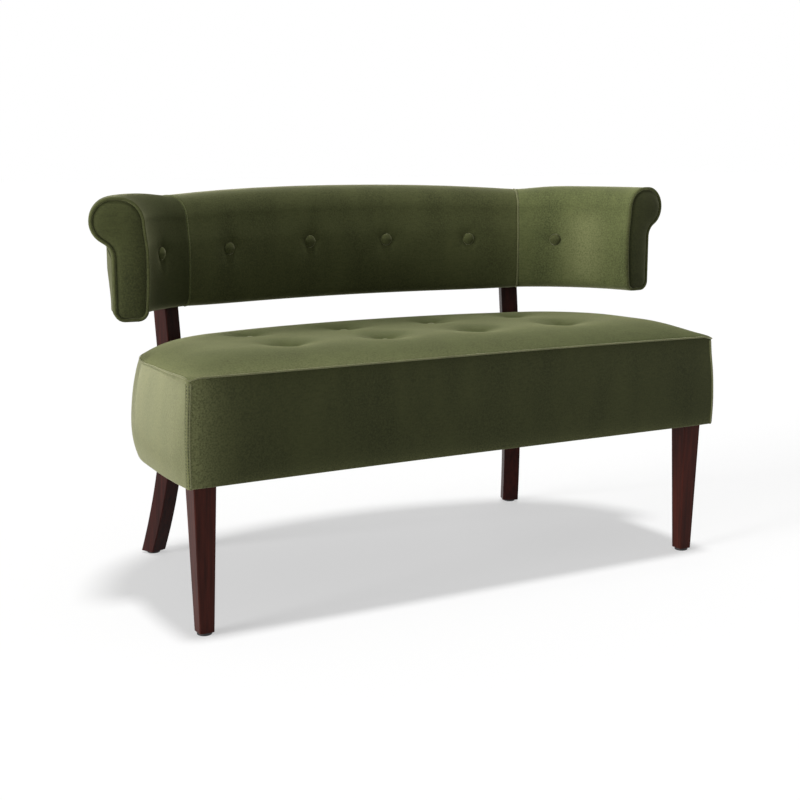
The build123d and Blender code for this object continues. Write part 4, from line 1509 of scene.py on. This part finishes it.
bm = bmesh.new()
for number in range(round((border_height - 4 * panel_round) / stitch_pitch)):
    part = (2 * panel_round + number * stitch_pitch) / border_height
    for side in (-1, 1):
        for on_front, on_side in ((stitch_from_corner, 0), (0, stitch_from_corner)):
            made = bmesh.ops.create_icosphere(bm, subdivisions=1, radius=stitch_radius)["verts"]
            bmesh.ops.scale(bm, vec=(1, 1, stitch_length / (2 * stitch_radius)), verts=made)
            bmesh.ops.translate(bm, vec=corner_point(part, side, on_front, on_side), verts=made)
finish_piece(bm, "seat_corner_stitches", thread)

# %% [markdown]
# ## Lining under the seat
# A thin black cloth is tacked under the seat to keep the dust in. It could be draped by a simulation, but a
# cloth that is stretched tight has no folds to find. So it is one flat face, cut to the plan of the seat a
# little way in from the edge.

# %% Lining
lining_inset = 4 * mm
lining_rise = 1.5 * mm
bm = bmesh.new()
draw_seat_plan(bm, lining_inset, 4 * spacing)
bmesh.ops.contextual_create(bm, geom=bm.edges[:])
bmesh.ops.translate(bm, verts=bm.verts, vec=(0, 0, seat_bottom + lining_rise))
turn_outward(bm, Vector((0, 0, seat_front_height)))
lining_area = sum(face.calc_area() for face in bm.faces)
dust_lining = finish_piece(bm, "seat_lining", lining)
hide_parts("seat_dust_cover")

# %% [markdown]
# ## Buttons
# The buttons are small shells covered in the same velvet: a low dome on a short rim. Half a sphere would
# stand too proud. So for each button a profile is drawn as an arc and two short lines and spun right round.
# The button is then turned to look straight out of the cloth, in the middle of its hollow.

# %% Buttons
button_radius = 12.8 * mm
dome_rise = 5 * mm
dome_centre = -14 * mm
dome_turn = 0.6
dome_step = 1.6 * mm
rim_low = -1 * mm
foot_low = -4 * mm
foot_share = 0.8
rim_step = 2 * mm
button_sides = 24


def make_buttons(places, name, material, node):
    """Cloth-covered buttons: a low dome on a short rim, spun once for each place."""
    bm = bmesh.new()
    for place in places:
        before = set(bm.verts)
        vert = bm.verts.new((0, 0, dome_rise))
        vert = pen_arc(bm, vert, Vector((0, 0, dome_centre)), dome_turn, (0, 1, 0), dome_step)
        vert = pen_line(bm, vert, Vector((button_radius, 0, rim_low)), rim_step)
        pen_line(bm, vert, Vector((button_radius * foot_share, 0, foot_low)), rim_step)
        drawn = [vert for vert in bm.verts if vert not in before]
        lines = list({edge for vert in drawn for edge in vert.link_edges})
        bmesh.ops.spin(bm, geom=drawn + lines, cent=(0, 0, 0), axis=(0, 0, 1), angle=2 * pi,
                       steps=button_sides, use_merge=True)
        made = [vert for vert in bm.verts if vert not in before]
        bmesh.ops.remove_doubles(bm, verts=made, dist=cut_gap)
        made = [vert for vert in bm.verts if vert not in before]
        bmesh.ops.transform(bm, matrix=place, verts=made)
    bmesh.ops.recalc_face_normals(bm, faces=bm.faces)
    buttons = finish_piece(bm, name, material)
    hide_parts(node)


def looking(point, normal):
    """The place of a button that sits at a point and looks along a normal."""
    return Matrix.Translation(point) @ normal.to_track_quat("Z", "Y").to_matrix().to_4x4()


print("buttons of", round(2 * button_radius / mm, 1), "mm")

# %% Buttons of the seat and of the back
front_row_rise = 3.5 * mm
back_button_reach = -1 * mm
seat_places = []
for x, y in seat_buttons:
    rise = front_row_rise if y < 0 else 0
    seat_places.append(looking(Vector((x, y, seat_surface(x, y) + rise)), Vector((0, 0, 1))))
# Painted highlight: the seat's buttons take the palest painted-light copy.
make_buttons(seat_places, "seat_button_tops", velvet_side_painted_light, "seat_buttons")
back_places = []
for length, height in back_buttons:
    outward = back_place(length, -core_reach, height) - back_place(length, 0, height)
    back_places.append(looking(back_place(length, back_button_reach, height), outward))
make_buttons(back_places, "back_button_tops", velvet_back_painted_light, "back_buttons")
